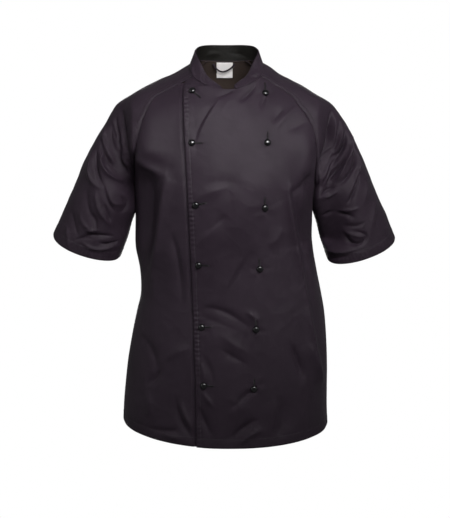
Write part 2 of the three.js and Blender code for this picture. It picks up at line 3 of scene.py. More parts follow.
import bpy
import numpy as np
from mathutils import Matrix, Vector


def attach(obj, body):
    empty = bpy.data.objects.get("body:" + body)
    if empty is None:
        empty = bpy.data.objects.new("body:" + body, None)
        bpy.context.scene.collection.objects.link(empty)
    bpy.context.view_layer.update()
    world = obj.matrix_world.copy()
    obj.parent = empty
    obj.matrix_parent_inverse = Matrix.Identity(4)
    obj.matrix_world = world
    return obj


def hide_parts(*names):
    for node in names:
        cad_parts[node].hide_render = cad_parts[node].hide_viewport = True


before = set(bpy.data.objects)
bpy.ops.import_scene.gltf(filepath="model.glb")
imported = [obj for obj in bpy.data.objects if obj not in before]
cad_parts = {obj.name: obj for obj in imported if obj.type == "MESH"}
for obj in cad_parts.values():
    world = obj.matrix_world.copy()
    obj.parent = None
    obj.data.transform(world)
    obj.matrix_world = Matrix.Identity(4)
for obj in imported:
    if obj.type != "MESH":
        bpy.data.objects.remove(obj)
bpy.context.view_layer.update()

scene = bpy.context.scene

# Camera
# It stands 2.57 m in front of the jacket at the height of the shoulders, tipped 9 degrees down,
# with a lens of about 84 mm over the height of a small-format frame.
camera = bpy.data.objects.new("camera", bpy.data.cameras.new("camera"))
scene.collection.objects.link(camera)
scene.camera = camera
camera.location = (-0.002, -2.568, -0.015)
camera.rotation_euler = (math.radians(90 - 9), 0, 0)
camera.data.sensor_fit = "VERTICAL"
camera.data.sensor_height = 36
camera.data.lens = 83.7

# Fronts
# Two panels of twill, each from its raglan and side seam to a faced edge. The wearer's left one closes over
# the right one and is topstitched 10 mm from its edge. Both are held by the studs.


def chart(names, *rows):
    values = np.array(rows, float)
    return {"names": names.split(), "rows": values[np.argsort(values[:, 0])]}


def read(source, name, at):
    """A column of a chart as a smooth curve over its first column."""
    x = source["rows"][:, 0]
    y = source["rows"][:, source["names"].index(name)]
    before = np.r_[0, np.arange(len(x) - 1)]
    after = np.r_[np.arange(1, len(x)), len(x) - 1]
    slope = (y[after] - y[before]) / (x[after] - x[before])
    at = np.clip(at, x[0], x[-1])
    i = np.clip(np.searchsorted(x, at) - 1, 0, len(x) - 2)
    span = x[i + 1] - x[i]
    t = (at - x[i]) / span
    return (
        y[i] * (1 + 2 * t) * (1 - t) ** 2
        + span * slope[i] * t * (1 - t) ** 2
        + y[i + 1] * t * t * (3 - 2 * t)
        - span * slope[i + 1] * t * t * (1 - t)
    )


def smooth_step(start, end, x):
    t = np.clip((x - start) / (end - start), 0, 1)
    return t * t * (3 - 2 * t)


# The jacket is filled out as when worn, so its panels are pieces of one hollow form, given here by rings
# from the neck to the hem. Sizes are in millimetres until a mesh is made of them. The front faces -Y, the
# wearer's left is +X. level is a ring's height at the side. front and back are its reach from the middle
# plane, and middle is where its side lies. sway shifts it to the wearer's left. drop, rise and left_drop
# tilt it. The last two shape its outline.
BODY = chart(
    "level half_width front back middle sway drop rise left_drop square_front square_back",
    (-8, 75.5, 74, 54, -6, 1.5, 49, 8.5, 0, 2.8, 2.0),
    (-18, 94, 82, 62, 0, 2.5, 48, 7, 0, 2.4, 2.0),
    (-31, 116.5, 90, 73, 4, 0, 46, 5, 0, 2.15, 2.0),
    (-43, 143.5, 97, 82, 6, -2, 44, 3, 0, 2.05, 2.0),
    (-56, 172, 103, 90, 7, -4, 41, 0, 0, 2.0, 2.0),
    (-70, 184, 108, 97, 7, -4, 38, 0, 0, 2.05, 2.05),
    (-90, 189, 114, 104, 7, -2, 33, 0, 0, 2.15, 2.15),
    (-118, 191, 121, 110, 6, 0, 26, 0, 0, 2.2, 2.2),
    (-145, 192, 127, 114, 5, 1, 19, 0, 0, 2.25, 2.25),
    (-175, 192, 132, 117, 4, 0, 12, 0, 0, 2.3, 2.3),
    (-205, 191, 136, 118, 3, -2, 6, 0, 0, 2.3, 2.3),
    (-235, 190, 138, 118, 2, -4, 2, 0, 0, 2.3, 2.3),
    (-285, 189, 138, 115, 0, -5, 0, 0, 0, 2.3, 2.3),
    (-328, 189, 136, 112, 0, -5, 0, 0, 0, 2.3, 2.3),
    (-389, 190, 133, 108, 0, -4, 0, 0, 0, 2.3, 2.3),
    (-441, 190, 132, 106, 0, 5, 0, 0, 0, 2.3, 2.3),
    (-494, 195, 134, 108, 0, 11, 0, 0, 0, 2.3, 2.3),
    (-534, 203, 137, 112, 0, 10, 0, 0, 0, 2.3, 2.3),
    (-587, 211, 141, 119, 0, 7, 0, 0, 0, 2.3, 2.3),
    (-655, 218, 146, 128, 0, 3, 3, 0, 0, 2.25, 2.25),
    (-736, 222, 150, 136, 0, -1, 11, -2, 2, 2.25, 2.25),
    (-778, 224, 153, 140, 0, -1, 20, -5, 5, 2.2, 2.2),
)
NECK, UNDERARM, VENT_TOP, HEM = -8, -285, -680, -778
VENT_HALF_OPENING = math.radians(1.2)

# The raglan seams, from the neck (station 0) to the underarm (1), as distances out from the middle of the
# ring.
RAGLAN = chart(
    "station level front back",
    (0.0, -8, 69, 48),
    (0.07, -18, 84, 61),
    (0.14, -31, 103, 81),
    (0.21, -43, 124, 99),
    (0.28, -56, 143, 118),
    (0.35, -70, 152, 132),
    (0.43, -90, 163, 147),
    (0.52, -118, 174, 160),
    (0.6, -145, 181, 169),
    (0.68, -175, 186, 177),
    (0.76, -205, 188.2, 183),
    (0.84, -235, 188.9, 187),
    (0.92, -262, 189.2, 188.8),
    (1.0, -285, 189, 189),
)


def ring(angle, level):
    """Places on the form, by angle from the centre front (the wearer's left is positive) and level."""
    angle, level = np.broadcast_arrays(np.asarray(angle, float), np.asarray(level, float))
    sine, cosine = np.sin(angle), np.cos(angle)
    at_front = cosine > 0
    square = np.where(at_front, read(BODY, "square_front", level), read(BODY, "square_back", level))
    reach = (np.abs(sine) ** square + np.abs(cosine) ** square) ** (-1 / square)
    middle = read(BODY, "middle", level)
    depth = np.where(at_front, read(BODY, "front", level) + middle, read(BODY, "back", level) - middle)
    drop, rise = read(BODY, "drop", level), read(BODY, "rise", level)
    x = read(BODY, "sway", level) + read(BODY, "half_width", level) * reach * sine
    y = middle - depth * reach * cosine
    z = level - (drop + rise) / 2 * cosine + (rise - drop) / 2 * cosine**2
    return np.stack([x, y, z - read(BODY, "left_drop", level) * sine], -1)


def unit(vectors):
    return vectors / np.maximum(np.linalg.norm(vectors, axis=-1, keepdims=True), 1e-9)


def bisect(low, high, too_low, shape):
    low, high = np.full(shape, float(low)), np.full(shape, float(high))
    for _ in range(40):
        tried = (low + high) / 2
        under = too_low(tried)
        low, high = np.where(under, tried, low), np.where(under, high, tried)
    return low


def angle_out(distance, level, face="front"):
    """The angle at which a ring reaches a distance out from its own middle line."""
    distance, level = np.broadcast_arrays(np.asarray(distance, float), np.asarray(level, float))
    sway = read(BODY, "sway", level)
    found = bisect(0, math.pi / 2, lambda a: ring(a, level)[..., 0] - sway < distance, level.shape)
    return found if face == "front" else math.pi - found


def seam_angle(level, face):
    """The angle of a panel's side: the raglan seam above the underarm, the side seam and its vent below."""
    station = bisect(0, 1, lambda s: read(RAGLAN, "level", s) > level, level.shape)
    raglan = angle_out(read(RAGLAN, face, station), np.maximum(level, UNDERARM), face)
    ease = smooth_step(UNDERARM + 40, UNDERARM, level)
    vent = VENT_HALF_OPENING * smooth_step(VENT_TOP, HEM, level)
    side = math.pi / 2 - vent if face == "front" else math.pi / 2 + vent
    return np.where(level > UNDERARM, raglan * (1 - ease) + math.pi / 2 * ease, side)


def edge_angle(distance, level):
    offset = distance - read(BODY, "sway", level)
    return np.sign(offset) * angle_out(np.abs(offset), level)


def rows_of_body(above, below):
    stations = np.linspace(0, 1, above)
    return np.r_[read(RAGLAN, "level", stations), np.linspace(UNDERARM, HEM, below + 1)[1:]]


def fold_relief(folds, point, normal):
    """How far folds raise each place of a cloth. They are soft ridges and troughs along given bows,
    listed by the face they are on. A row has three places (x, z) that its bow passes through, its widths to the
    left and right of that course, and its height, which is negative for a trough."""
    x, z = point[..., 0].ravel(), point[..., 2].ravel()
    total = np.zeros(x.shape)
    t = np.linspace(0, 1, 15)
    for face, bows in folds.items():
        facing = (-normal[..., 1] if face == "front" else normal[..., 1]).ravel()
        for x0, z0, x1, z1, x2, z2, left, right, height in bows:
            mid_x, mid_z = 2 * x1 - (x0 + x2) / 2, 2 * z1 - (z0 + z2) / 2
            bow_x = (1 - t) ** 2 * x0 + 2 * t * (1 - t) * mid_x + t * t * x2
            bow_z = (1 - t) ** 2 * z0 + 2 * t * (1 - t) * mid_z + t * t * z2
            room = 2.6 * max(left, right)
            near = (x > bow_x.min() - room) & (x < bow_x.max() + room)
            near &= (z > bow_z.min() - room) & (z < bow_z.max() + room)
            near = np.flatnonzero(near & (facing > 0))
            if not len(near):
                continue
            px, pz = x[near], z[near]
            best, side, place = np.full(px.shape, np.inf), np.zeros(px.shape), np.zeros(px.shape)
            for i in range(len(t) - 1):
                dx, dz = bow_x[i + 1] - bow_x[i], bow_z[i + 1] - bow_z[i]
                share = np.clip(((px - bow_x[i]) * dx + (pz - bow_z[i]) * dz) / (dx * dx + dz * dz), 0, 1)
                ox, oz = px - bow_x[i] - share * dx, pz - bow_z[i] - share * dz
                away = ox * ox + oz * oz
                closer = away < best
                best = np.where(closer, away, best)
                side = np.where(closer, dx * oz - dz * ox, side)
                place = np.where(closer, (i + share) / (len(t) - 1), place)
            width = np.where(side > 0, left, right)
            taper = np.sin(math.pi * (0.05 + 0.9 * place)) ** 0.8
            crest = (np.sqrt(best + (0.14 * width) ** 2) - 0.14 * width) / (0.72 * width)
            turned_here = smooth_step(0.1, 0.55, facing[near])
            total[near] += turned_here * height * taper * np.exp(-crest - 0.25 * best / width**2)
    return total.reshape(point.shape[:-1])


def rumple(point, size, seed):
    """Gentle unevenness of cloth, from -1 to 1, whose swells are about as long as size."""
    chance = np.random.default_rng(seed)
    total = np.zeros(point.shape[:-1])
    for _ in range(9):
        way = unit(chance.normal(size=3)) * 2 * math.pi / (size * chance.uniform(0.7, 1.6))
        total += np.sin(point @ way + chance.uniform(0, 2 * math.pi))
    return total / 4.5


FINE_EDGE = np.array([0, 0.7, 1.5, 2.4, 3.4, 4.8, 6.4, 7.8, 8.9, 10.0, 11.4, 13.4, 16.0])


def evened(grid, columns):
    """The same surface with its rows divided evenly, but finely along both sides."""
    steps = np.linalg.norm(np.diff(grid, axis=1), axis=-1)
    length = np.concatenate([np.zeros((len(grid), 1)), np.cumsum(steps, 1)], 1)
    made = []
    for row, run in zip(grid, length):
        fine = FINE_EDGE * min(1, run[-1] / 60)
        inner = np.linspace(fine[-1], run[-1] - fine[-1], columns - 2 * len(fine) + 2)[1:-1]
        wanted = np.r_[fine, inner, run[-1] - fine[::-1]]
        made.append(np.stack([np.interp(wanted, run, row[:, k]) for k in range(3)], -1))
    return np.array(made)


def surface_normals(grid):
    return unit(np.cross(np.gradient(grid, axis=0), np.gradient(grid, axis=1)))


def facing_out(grid, inside):
    """Unit normals of a grid of places, away from a place inside."""
    normals = surface_normals(grid)
    r, c = len(grid) // 2, len(grid[0]) // 2
    return normals * np.sign(normals[r, c] @ (grid[r, c] - inside))


def from_edges(grid):
    """Distances of each place over the cloth from the first and last column and the first and last row."""
    across = np.cumsum(np.linalg.norm(np.diff(grid, axis=1), axis=-1), 1)
    across = np.concatenate([np.zeros((len(grid), 1)), across], 1)
    down = np.cumsum(np.linalg.norm(np.diff(grid, axis=0), axis=-1), 0)
    down = np.concatenate([np.zeros((1, grid.shape[1])), down], 0)
    return {"first": across, "last": across[:, -1:] - across, "top": down, "bottom": down[-1:] - down}


def bump(distance, at, width):
    return np.exp(-(((distance - at) / width) ** 2))


def stitched_edge(away, run, rows, pucker, seed):
    """Relief beside a stitched edge. It rolls in, is pressed down along rows of stitches and puckers between."""
    chance = np.random.default_rng(seed)
    phase = 2 * math.pi * run / 9.5
    phase = phase + 1.3 * np.sin(run / 23 + chance.uniform(0, 6))
    phase = phase + 1.1 * np.sin(run / 57 + chance.uniform(0, 6))
    strength = 0.6 + 0.4 * np.sin(run / 41 + chance.uniform(0, 6))
    relief = -0.9 * bump(away, 0, 1.5)
    for row in rows:
        relief -= 0.5 * bump(away, row, 1.3)
    relief += 0.45 * smooth_step(0, 2, away) * smooth_step(rows[-1] + 1.5, rows[-1] - 1, away) if rows else 0
    reach = (rows[-1] if rows else 3) + 5
    held = smooth_step(0.3, 3, away) * smooth_step(reach, reach * 0.45, away)
    return relief + pucker * strength * np.sin(phase) * held


def hex_colour(code):
    parts = [int(code[i : i + 2], 16) / 255 for i in (0, 2, 4)]
    return tuple(p / 12.92 if p <= 0.04045 else ((p + 0.055) / 1.055) ** 2.4 for p in parts) + (1.0,)


def add_node(tree, kind, settings=None, inputs=None):
    made = tree.nodes.new(kind)
    for name, value in (settings or {}).items():
        setattr(made, name, value)
    for name, value in (inputs or {}).items():
        if isinstance(value, bpy.types.NodeSocket):
            tree.links.new(value, made.inputs[name])
        else:
            made.inputs[name].default_value = value
    return made


def new_material(name):
    material = bpy.data.materials.new(name)
    material.use_nodes = True
    material.node_tree.nodes.clear()
    return material, material.node_tree


def noise(tree, where, scale, detail=2.0, roughness=0.5):
    wanted = {"Vector": where, "Scale": scale, "Detail": detail, "Roughness": roughness}
    return add_node(tree, "ShaderNodeTexNoise", None, wanted).outputs["Fac"]


def between(tree, value, low, high, start=0.0, end=1.0):
    """A number that goes from low to high while value goes from start to end."""
    wanted = {"Value": value, "From Min": start, "From Max": end, "To Min": low, "To Max": high}
    return add_node(tree, "ShaderNodeMapRange", None, wanted).outputs["Result"]


def blend(tree, share, first, second):
    """A colour between two others, each given by its hex code or by a node."""
    first, second = [hex_colour(c) if isinstance(c, str) else c for c in (first, second)]
    return add_node(tree, "ShaderNodeMix", {"data_type": "RGBA"}, {0: share, 6: first, 7: second}).outputs[2]


def raised(tree, height, strength, distance, under=None):
    """Fine relief for a surface, over other relief or none. distance is in metres."""
    wanted = {"Height": height, "Strength": strength, "Distance": distance}
    if under is not None:
        wanted["Normal"] = under
    return add_node(tree, "ShaderNodeBump", None, wanted).outputs["Normal"]


def finish(tree, qualities):
    surface = add_node(tree, "ShaderNodeBsdfPrincipled", None, qualities)
    add_node(tree, "ShaderNodeOutputMaterial", None, {"Surface": surface.outputs["BSDF"]})


# Polycotton twill, piece-dyed black and washed soft. Its diagonal ribs are raised, and their crests are also
# painted lighter, a painted highlight that gives a faint violet lustre. Its wrong side is duller and browner,
# and is also painted lighter, standing in for light on the inside of the jacket. The real ribs are 0.5 mm apart,
# too fine to show, so they are drawn 1.3 mm apart.
RIB_SPACING = 1.3
BANDS_AT_SCALE_ONE = 628


def make_twill(name, wrong_side):
    material, tree = new_material(name)
    cloth = add_node(tree, "ShaderNodeUVMap", {"uv_map": "cloth"}).outputs["UV"]
    rib_scale = BANDS_AT_SCALE_ONE / RIB_SPACING
    ribs = add_node(
        tree,
        "ShaderNodeTexWave",
        {"bands_direction": "DIAGONAL"},
        {"Vector": cloth, "Scale": rib_scale, "Distortion": 0.4, "Detail": 1.0, "Detail Scale": 0.6},
    ).outputs["Fac"]
    creases = add_node(
        tree,
        "ShaderNodeTexNoise",
        {"noise_type": "RIDGED_MULTIFRACTAL"},
        {"Vector": cloth, "Scale": 26.0, "Detail": 2.0, "Roughness": 0.45, "Offset": 0.9, "Gain": 1.2},
    ).outputs["Fac"]
    fuzz = noise(tree, cloth, 900, 3, 0.6)
    wear = between(tree, noise(tree, cloth, 9, 4, 0.6), 0, 1, 0.35, 0.7)
    right_side = blend(tree, wear, "211921", "261e26")
    which_side = add_node(tree, "ShaderNodeAttribute", {"attribute_name": "wrong_side"}).outputs["Fac"]
    colour = blend(tree, which_side, right_side, wrong_side)
    # The ribs' crests are painted up to 12 % lighter and their hollows up to 18 % darker: painted highlight and
    # shade along the ribs.
    painted_rib_highlight = between(tree, ribs, 0.82, 1.12)
    ribbed = add_node(tree, "ShaderNodeVectorMath", {"operation": "SCALE"}, {0: colour, "Scale": painted_rib_highlight})
    relief = raised(tree, creases, 0.45, 0.0007)
    relief = raised(tree, noise(tree, cloth, 42, 3, 0.45), 0.5, 0.0012, relief)
    relief = raised(tree, ribs, 0.45, 0.00025, relief)
    relief = raised(tree, fuzz, 0.3, 0.0002, relief)
    finish(
        tree,
        {
            "Base Color": ribbed.outputs["Vector"],
            "Roughness": between(tree, fuzz, 0.48, 0.6),
            "Normal": relief,
            "Specular IOR Level": 0.13,
            "Sheen Weight": 0.02,
            "Sheen Roughness": 0.4,
            "Sheen Tint": hex_colour("b9a9ba"),
        },
    )
    return material


# The wrong side's colour, 382f2b, is the cloth's duller, browner back, painted lighter as well: painted light on
# the inside of the jacket.
twill = make_twill("black_polycotton_twill", "382f2b")
EDGE_ROUNDING, RIB_SHIFT = 0.28, 0.7


def cloth_piece(name, outer, normals, thickness, material):
    """A closed shell of cloth with rounded edges. Its UV map is in metres over the cloth, and the ribs of the
    wrong side are shifted by half their spacing."""
    rows, columns = outer.shape[:2]
    rim = [(0, c) for c in range(columns)] + [(r, columns - 1) for r in range(1, rows)]
    rim += [(rows - 1, c) for c in range(columns - 2, -1, -1)] + [(r, 0) for r in range(rows - 2, 0, -1)]
    border = np.array([r * columns + c for r, c in rim])
    right_side = outer.reshape(-1, 3)
    facing = normals.reshape(-1, 3)
    wrong_side = right_side - facing * thickness
    middle = (right_side[border] + wrong_side[border]) / 2
    outwards = unit(np.cross(np.roll(middle, -1, 0) - np.roll(middle, 1, 0), facing[border]))
    past_first_column = outer[rows // 2, 0] - outer[rows // 2, 3]
    outwards *= np.sign(outwards[rim.index((rows // 2, 0))] @ past_first_column)
    middle = middle + outwards * thickness * EDGE_ROUNDING
    places = np.concatenate([right_side, wrong_side, middle])

    count = rows * columns
    index = np.arange(count).reshape(rows, columns)
    quads = np.stack([index[:-1, :-1], index[:-1, 1:], index[1:, 1:], index[1:, :-1]], -1).reshape(-1, 4)
    a, b = border, np.roll(border, -1)
    rim_a = 2 * count + np.arange(len(border))
    rim_b = np.roll(rim_a, -1)
    strips = [np.stack([b, a, rim_a, rim_b], -1), np.stack([rim_b, rim_a, a + count, b + count], -1)]
    faces = np.concatenate([quads, quads[:, ::-1] + count, *strips])
    sample = quads[len(quads) // 2]
    corner = right_side[sample]
    if np.cross(corner[2] - corner[0], corner[3] - corner[1]) @ facing[sample[0]] < 0:
        faces = faces[:, ::-1]

    mesh = bpy.data.meshes.new(name)
    mesh.from_pydata((places * 0.001).tolist(), [], faces.tolist())
    away = from_edges(outer)
    flat = np.stack([away["first"] - away["first"][:, -1:] / 2, -away["top"]], -1).reshape(-1, 2)
    flat = np.concatenate([flat, flat + (0.0, RIB_SHIFT), flat[border]]) * 0.001
    corners = np.empty(len(mesh.loops), np.int32)
    mesh.loops.foreach_get("vertex_index", corners)
    mesh.uv_layers.new(name="cloth").data.foreach_set("uv", flat[corners].ravel())
    wrong = mesh.attributes.new("wrong_side", "FLOAT", "POINT")
    wrong.data.foreach_set("value", np.r_[np.zeros(count), np.ones(count), np.zeros(len(border))])
    mesh.shade_smooth()
    mesh.materials.append(material)
    piece = bpy.data.objects.new(name, mesh)
    scene.collection.objects.link(piece)
    return piece


# The free edges of the fronts, as distances to the wearer's left of the centre front.
EDGES = chart(
    "level closing under",
    (-8, -85, 94),
    (-28, -87, 95),
    (-164, -82, 97),
    (-290, -76, 94),
    (-408, -71, 86),
    (-535, -67, 78),
    (-657, -63, 74),
    (-778, -61, 72),
)
OVERLAP_LIFT = 2.9
CLOTH_THICKNESS = 1.6
BODY_AXIS = np.array([0, 0, -500.0])
# Fullness that the rings lack: the cloth stands forward over the chest beside the raglan seams, and falls
# in below it and at the inside of the sleeves. A row has its middle (x, z), its widths and how far forward
# it stands.
FULLNESS = chart(
    "x z left right up down forward",
    (-191, -178, 18, 56, 108, 36, 46),
    (188, -224, 50, 20, 140, 108, 50),
    (10, -275, 150, 120, 85, 135, 15),
    (-216, -345, 24, 40, 60, 32, -12),
    (219, -373, 46, 40, 100, 13, -34),
)
BODY_FOLDS = {
    "front": [
        (-190, -190, -158, -212, -120, -234, 12, 20, 12),
        (-120, -234, -130, -293, -150, -413, 17, 25, 13),
        (-157, -232, -162, -317, -176, -449, 34, 34, -17.6),
        (129, -253, 139, -356, 170, -495, 4.5, 12, 13),
        (170, -495, 181, -570, 203, -669, 6, 12, 9.1),
        (145, -283, 161, -370, 180, -477, 14, 14, -7.8),
        (159, -227, 180, -290, 178, -385, 21, 17, -9.8),
        (14, -59, 0, -65, -18, -75, 5.2, 7.5, -5.6),
        (62, -49, 47, -65, 29, -81, 5.2, 7.5, -7),
        (82, -71, 76, -83, 73, -99, 5.2, 7.5, -3.9),
        (-20, -87, -45, -118, -63, -158, 6, 9.8, -4.2),
        (-14, -81, -36, -113, -55, -152, 6, 7.5, 3.9),
        (43, -95, 12, -79, -8, -103, 19, 19, 2.6),
        (117, -99, 104, -111, 96, -127, 6, 9.8, -4.7),
        (145, -92, 119, -115, 102, -139, 7.5, 11.2, 3.9),
        (179, -113, 152, -128, 127, -140, 11.2, 11.2, -4.2),
        (-42, -250, -8, -240, 32, -247, 16, 26, -2.6),
        (-53, -271, -22, -258, 4, -251, 13, 17, 4.2),
        (130, -268, 160, -249, 186, -226, 8, 26, -6),
        (-41, -344, -16, -324, 0, -307, 13, 19, -4.2),
        (-61, -374, -33, -344, -8, -324, 13, 19, 4.2),
        (35, -399, 12, -434, -8, -478, 15, 19, 4.2),
        (53, -383, 35, -420, 10, -461, 15, 19, -4.2),
        (86, -375, 103, -360, 115, -335, 15, 17, 3.6),
        (-111, -353, -99, -409, -91, -489, 7.5, 11.2, -5.3),
        (-136, -365, -154, -414, -149, -495, 19, 19, 4.7),
        (-43, -503, -2, -511, 43, -540, 9, 19, -5.6),
        (-54, -520, -23, -531, 21, -549, 15, 19, -3.3),
        (45, -513, 58, -522, 66, -536, 6, 7.5, 5.6),
        (54, -532, 37, -557, 23, -603, 15, 17, -2.6),
        (-8, -561, 19, -580, 43, -594, 13, 17, 3.7),
        (-8, -590, 12, -602, 41, -619, 6.8, 9.8, -3.3),
        (-47, -602, -31, -635, -29, -664, 6, 9.8, -3.7),
        (-56, -615, -45, -640, -48, -673, 6, 7.5, 3),
        (-48, -677, -37, -694, -25, -711, 6, 7.5, 4.1),
        (58, -677, 35, -691, 15, -714, 6, 9.8, -5.5),
        (63, -738, 38, -754, 13, -775, 6.8, 9.8, -6.6),
        (75, -760, 50, -771, 29, -788, 7.5, 11.2, 5.3),
        (-8, -690, 25, -704, 4, -728, 19, 19, 2.5),
        (-54, -711, -46, -736, -29, -770, 7.5, 11.2, -6),
        (138, -587, 153, -622, 162, -658, 7.5, 11.2, -8.8),
        (170, -583, 186, -624, 206, -679, 10, 17, 7.9),
        (96, -697, 102, -730, 92, -765, 15, 19, 5.3),
        (113, -699, 119, -742, 109, -775, 19, 19, -4.7),
        (-96, -701, -83, -734, -69, -755, 7.5, 9.8, 6),
        (-104, -702, -92, -743, -71, -772, 7.5, 9.8, -5.3),
        (-164, -672, -151, -657, -138, -640, 7.5, 9.8, -6.6),
        (-169, -690, -160, -713, -169, -741, 15, 17, 4.8),
        (-125, -616, -100, -597, -74, -587, 15, 17, 4),
        (-182, -572, -155, -603, -147, -644, 13, 17, -4.7),
        (-160, -765, -128, -766, -100, -761, 5.2, 7.5, -4.2),
        (-134, -774, -113, -777, -92, -778, 6, 6, 4.2),
    ],
}
# Middles (x, z) of the studs, from the neck down: in the row beside the closing edge and in the other row.
STUDS = {
    "right": [(-69, -61), (-69, -164), (-61, -288), (-56, -413), (-50, -543), (-46, -664)],
    "left": [(81, -66), (84, -164), (79, -295), (69.5, -422), (62, -548), (58, -672)],
}
# At the raglan seams a panel goes on a little below the sleeve's edge, and is held down there.
SEAM_TUCK_ANGLE, SEAM_TUCK_DEPTH, SEAM_TUCK_WIDTH = 0.018, 2.3, 4.6
EDGE_STITCHING, HEM_STITCHING = 10, 20
CORNER_DROP, CORNER_FOOT = 19, -90
OVERLAP_FROM, OVERLAP_WHOLE = 12, -32


def stud_pull(place):
    """Each stud draws the cloth in a little, and small creases run out from it."""
    relief = np.zeros(place.shape[:-1])
    at_front = place[..., 1] < 0
    for n, (x, z) in enumerate(STUDS["right"] + STUDS["left"]):
        dx, dz = place[..., 0] - x, place[..., 2] - z
        away, turn = np.hypot(dx, dz), np.arctan2(dz, dx)
        relief -= at_front * 1.3 * bump(away, 0, 9)
        relief += at_front * 0.45 * np.sin(4 * turn + 1.9 * n) * bump(away, 15, 8)
    return relief


def filled_out(place):
    """The cloth of the front moved to where its fullness takes it."""
    moved = place.copy()
    at_front = smooth_step(25, -25, place[..., 1])
    for x, z, left, right, up, down, forward in FULLNESS["rows"]:
        across = (place[..., 0] - x) / np.where(place[..., 0] < x, left, right)
        along = (place[..., 2] - z) / np.where(place[..., 2] < z, down, up)
        moved[..., 1] -= forward * at_front * np.exp(-(across**2) - along**2)
    return moved


def front_panel(way, edge, above, below, columns):
    level = rows_of_body(above, below)
    corner_drop = CORNER_DROP * np.clip((level - CORNER_FOOT) / (NECK - CORNER_FOOT), 0, 1) ** 1.2
    tucked = smooth_step(UNDERARM - 5, UNDERARM + 25, level)
    seam = way * (seam_angle(level, "front") + SEAM_TUCK_ANGLE * tucked)
    own = edge_angle(read(EDGES, edge, level), level - corner_drop)
    angles = seam[:, None] + (own - seam)[:, None] * np.linspace(0, 1, 100)
    lowered = level[:, None] - corner_drop[:, None] * np.maximum(angles / own[:, None], 0) ** 4
    place = evened(filled_out(ring(angles, lowered)), columns)
    normals = facing_out(place, BODY_AXIS)
    away = from_edges(place)
    overlapped = smooth_step(OVERLAP_FROM, OVERLAP_WHOLE, place[..., 0])
    if edge == "closing":
        # The edge stands a little off the other front, most between the upper studs.
        standing_edge = (0.8 + 3 * bump(level, -112, 55))[:, None] * smooth_step(24, 0, away["last"])
        relief = OVERLAP_LIFT * overlapped + standing_edge
    else:
        # The other front is dented along the closing edge, so that a line of shadow shows there.
        dent = read(EDGES, "closing", level)[:, None] - 2
        relief = OVERLAP_LIFT * (overlapped - 1) - 3.2 * bump(place[..., 0], dent, 3.4)
    loose = smooth_step(0, 26, away["first"]) * smooth_step(0, 9, away["top"])
    relief += loose * fold_relief(BODY_FOLDS, place, normals)
    relief += loose * (0.8 * rumple(place, 90, 3) + 0.25 * rumple(place, 34, 4)) + stud_pull(place)
    relief += stitched_edge(away["first"], away["top"], [], 0.25, 11)
    pucker = 0.8 if edge == "closing" else 0.1
    relief += stitched_edge(away["last"], away["top"], [EDGE_STITCHING], pucker, 12)
    relief += stitched_edge(away["bottom"], away["first"], [HEM_STITCHING], 0.25, 13)
    relief -= 0.8 * bump(away["top"], 0, 1.5)
    relief -= SEAM_TUCK_DEPTH * tucked[:, None] * smooth_step(SEAM_TUCK_WIDTH, 1, away["first"])
    outer = place + normals * relief[..., None]
    return {"outer": outer, "normals": facing_out(outer, BODY_AXIS)}


fronts = {"left": front_panel(1, "closing", 110, 222, 136), "right": front_panel(-1, "under", 90, 152, 136)}
for side, cut_area in (("left", 0.256), ("right", 0.263)):
    sheet = fronts[side]
    piece = cloth_piece(f"front_{side}_twill", sheet["outer"], sheet["normals"], CLOTH_THICKNESS, twill)
    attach(piece, "root")
    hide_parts(f"front_{side}")


# Back
# One panel from seam to seam, a little longer in the shoulders than the fronts, hanging in two soft folds
# on each side. Its hem and vents are stitched like those of the fronts.
BACK_FOLDS = {
    "back": [
        (-120, -230, -134, -400, -150, -740, 22, 22, 7),
        (118, -240, 134, -420, 146, -750, 22, 22, 7),
        (-60, -420, -54, -600, -66, -770, 30, 30, -6),
        (58, -440, 52, -610, 64, -770, 30, 30, -6),
        (-70, -300, 0, -322, 74, -296, 26, 26, -5),
        (-150, -160, -132, -200, -126, -260, 9, 14, -3.4),
        (150, -166, 134, -206, 124, -262, 14, 9, -3.4),
        (-96, -64, -60, -78, -20, -70, 7, 12, -1.8),
        (92, -62, 54, -80, 12, -74, 12, 7, -1.8),
        (-110, -400, -40, -432, 20, -418, 10, 16, -3),
        (112, -380, 60, -410, 8, -402, 16, 10, 2.4),
        (-104, -470, -50, -500, 14, -480, 9, 15, -2.6),
        (96, -520, 40, -548, -24, -530, 15, 9, -2.4),
        (-24, -560, -12, -650, -20, -760, 18, 12, 3),
        (104, -560, 96, -660, 104, -760, 12, 18, -3.4),
        (-112, -540, -100, -640, -108, -756, 16, 12, -3.2),
        (14, -140, 4, -200, 10, -270, 30, 30, 1.8),
        (-176, -300, -160, -420, -168, -560, 16, 12, -4),
        (174, -310, 160, -430, 170, -570, 12, 16, -4),
    ],
}
level = rows_of_body(90, 152)
tucked = smooth_step(UNDERARM - 5, UNDERARM + 25, level)
seam = seam_angle(level, "back") - SEAM_TUCK_ANGLE * tucked
angles = seam[:, None] + (2 * math.pi - 2 * seam)[:, None] * np.linspace(0, 1, 160)
place = evened(ring(angles, level[:, None]), 166)
normals = facing_out(place, BODY_AXIS)
away = from_edges(place)
from_seams = np.minimum(away["first"], away["last"])
relief = fold_relief(BACK_FOLDS, place, normals) + 1.1 * rumple(place, 95, 5) + 0.3 * rumple(place, 36, 6)
relief *= smooth_step(0, 26, from_seams) * smooth_step(0, 14, away["top"])
relief += stitched_edge(away["first"], away["top"], [], 0.25, 21)
relief += stitched_edge(away["last"], away["top"], [], 0.25, 22)
relief += stitched_edge(away["bottom"], away["first"], [HEM_STITCHING], 0.25, 23)
relief -= 0.8 * bump(away["top"], 0, 1.5)
relief -= SEAM_TUCK_DEPTH * tucked[:, None] * smooth_step(SEAM_TUCK_WIDTH, 1, from_seams)
outer = place + normals * relief[..., None]
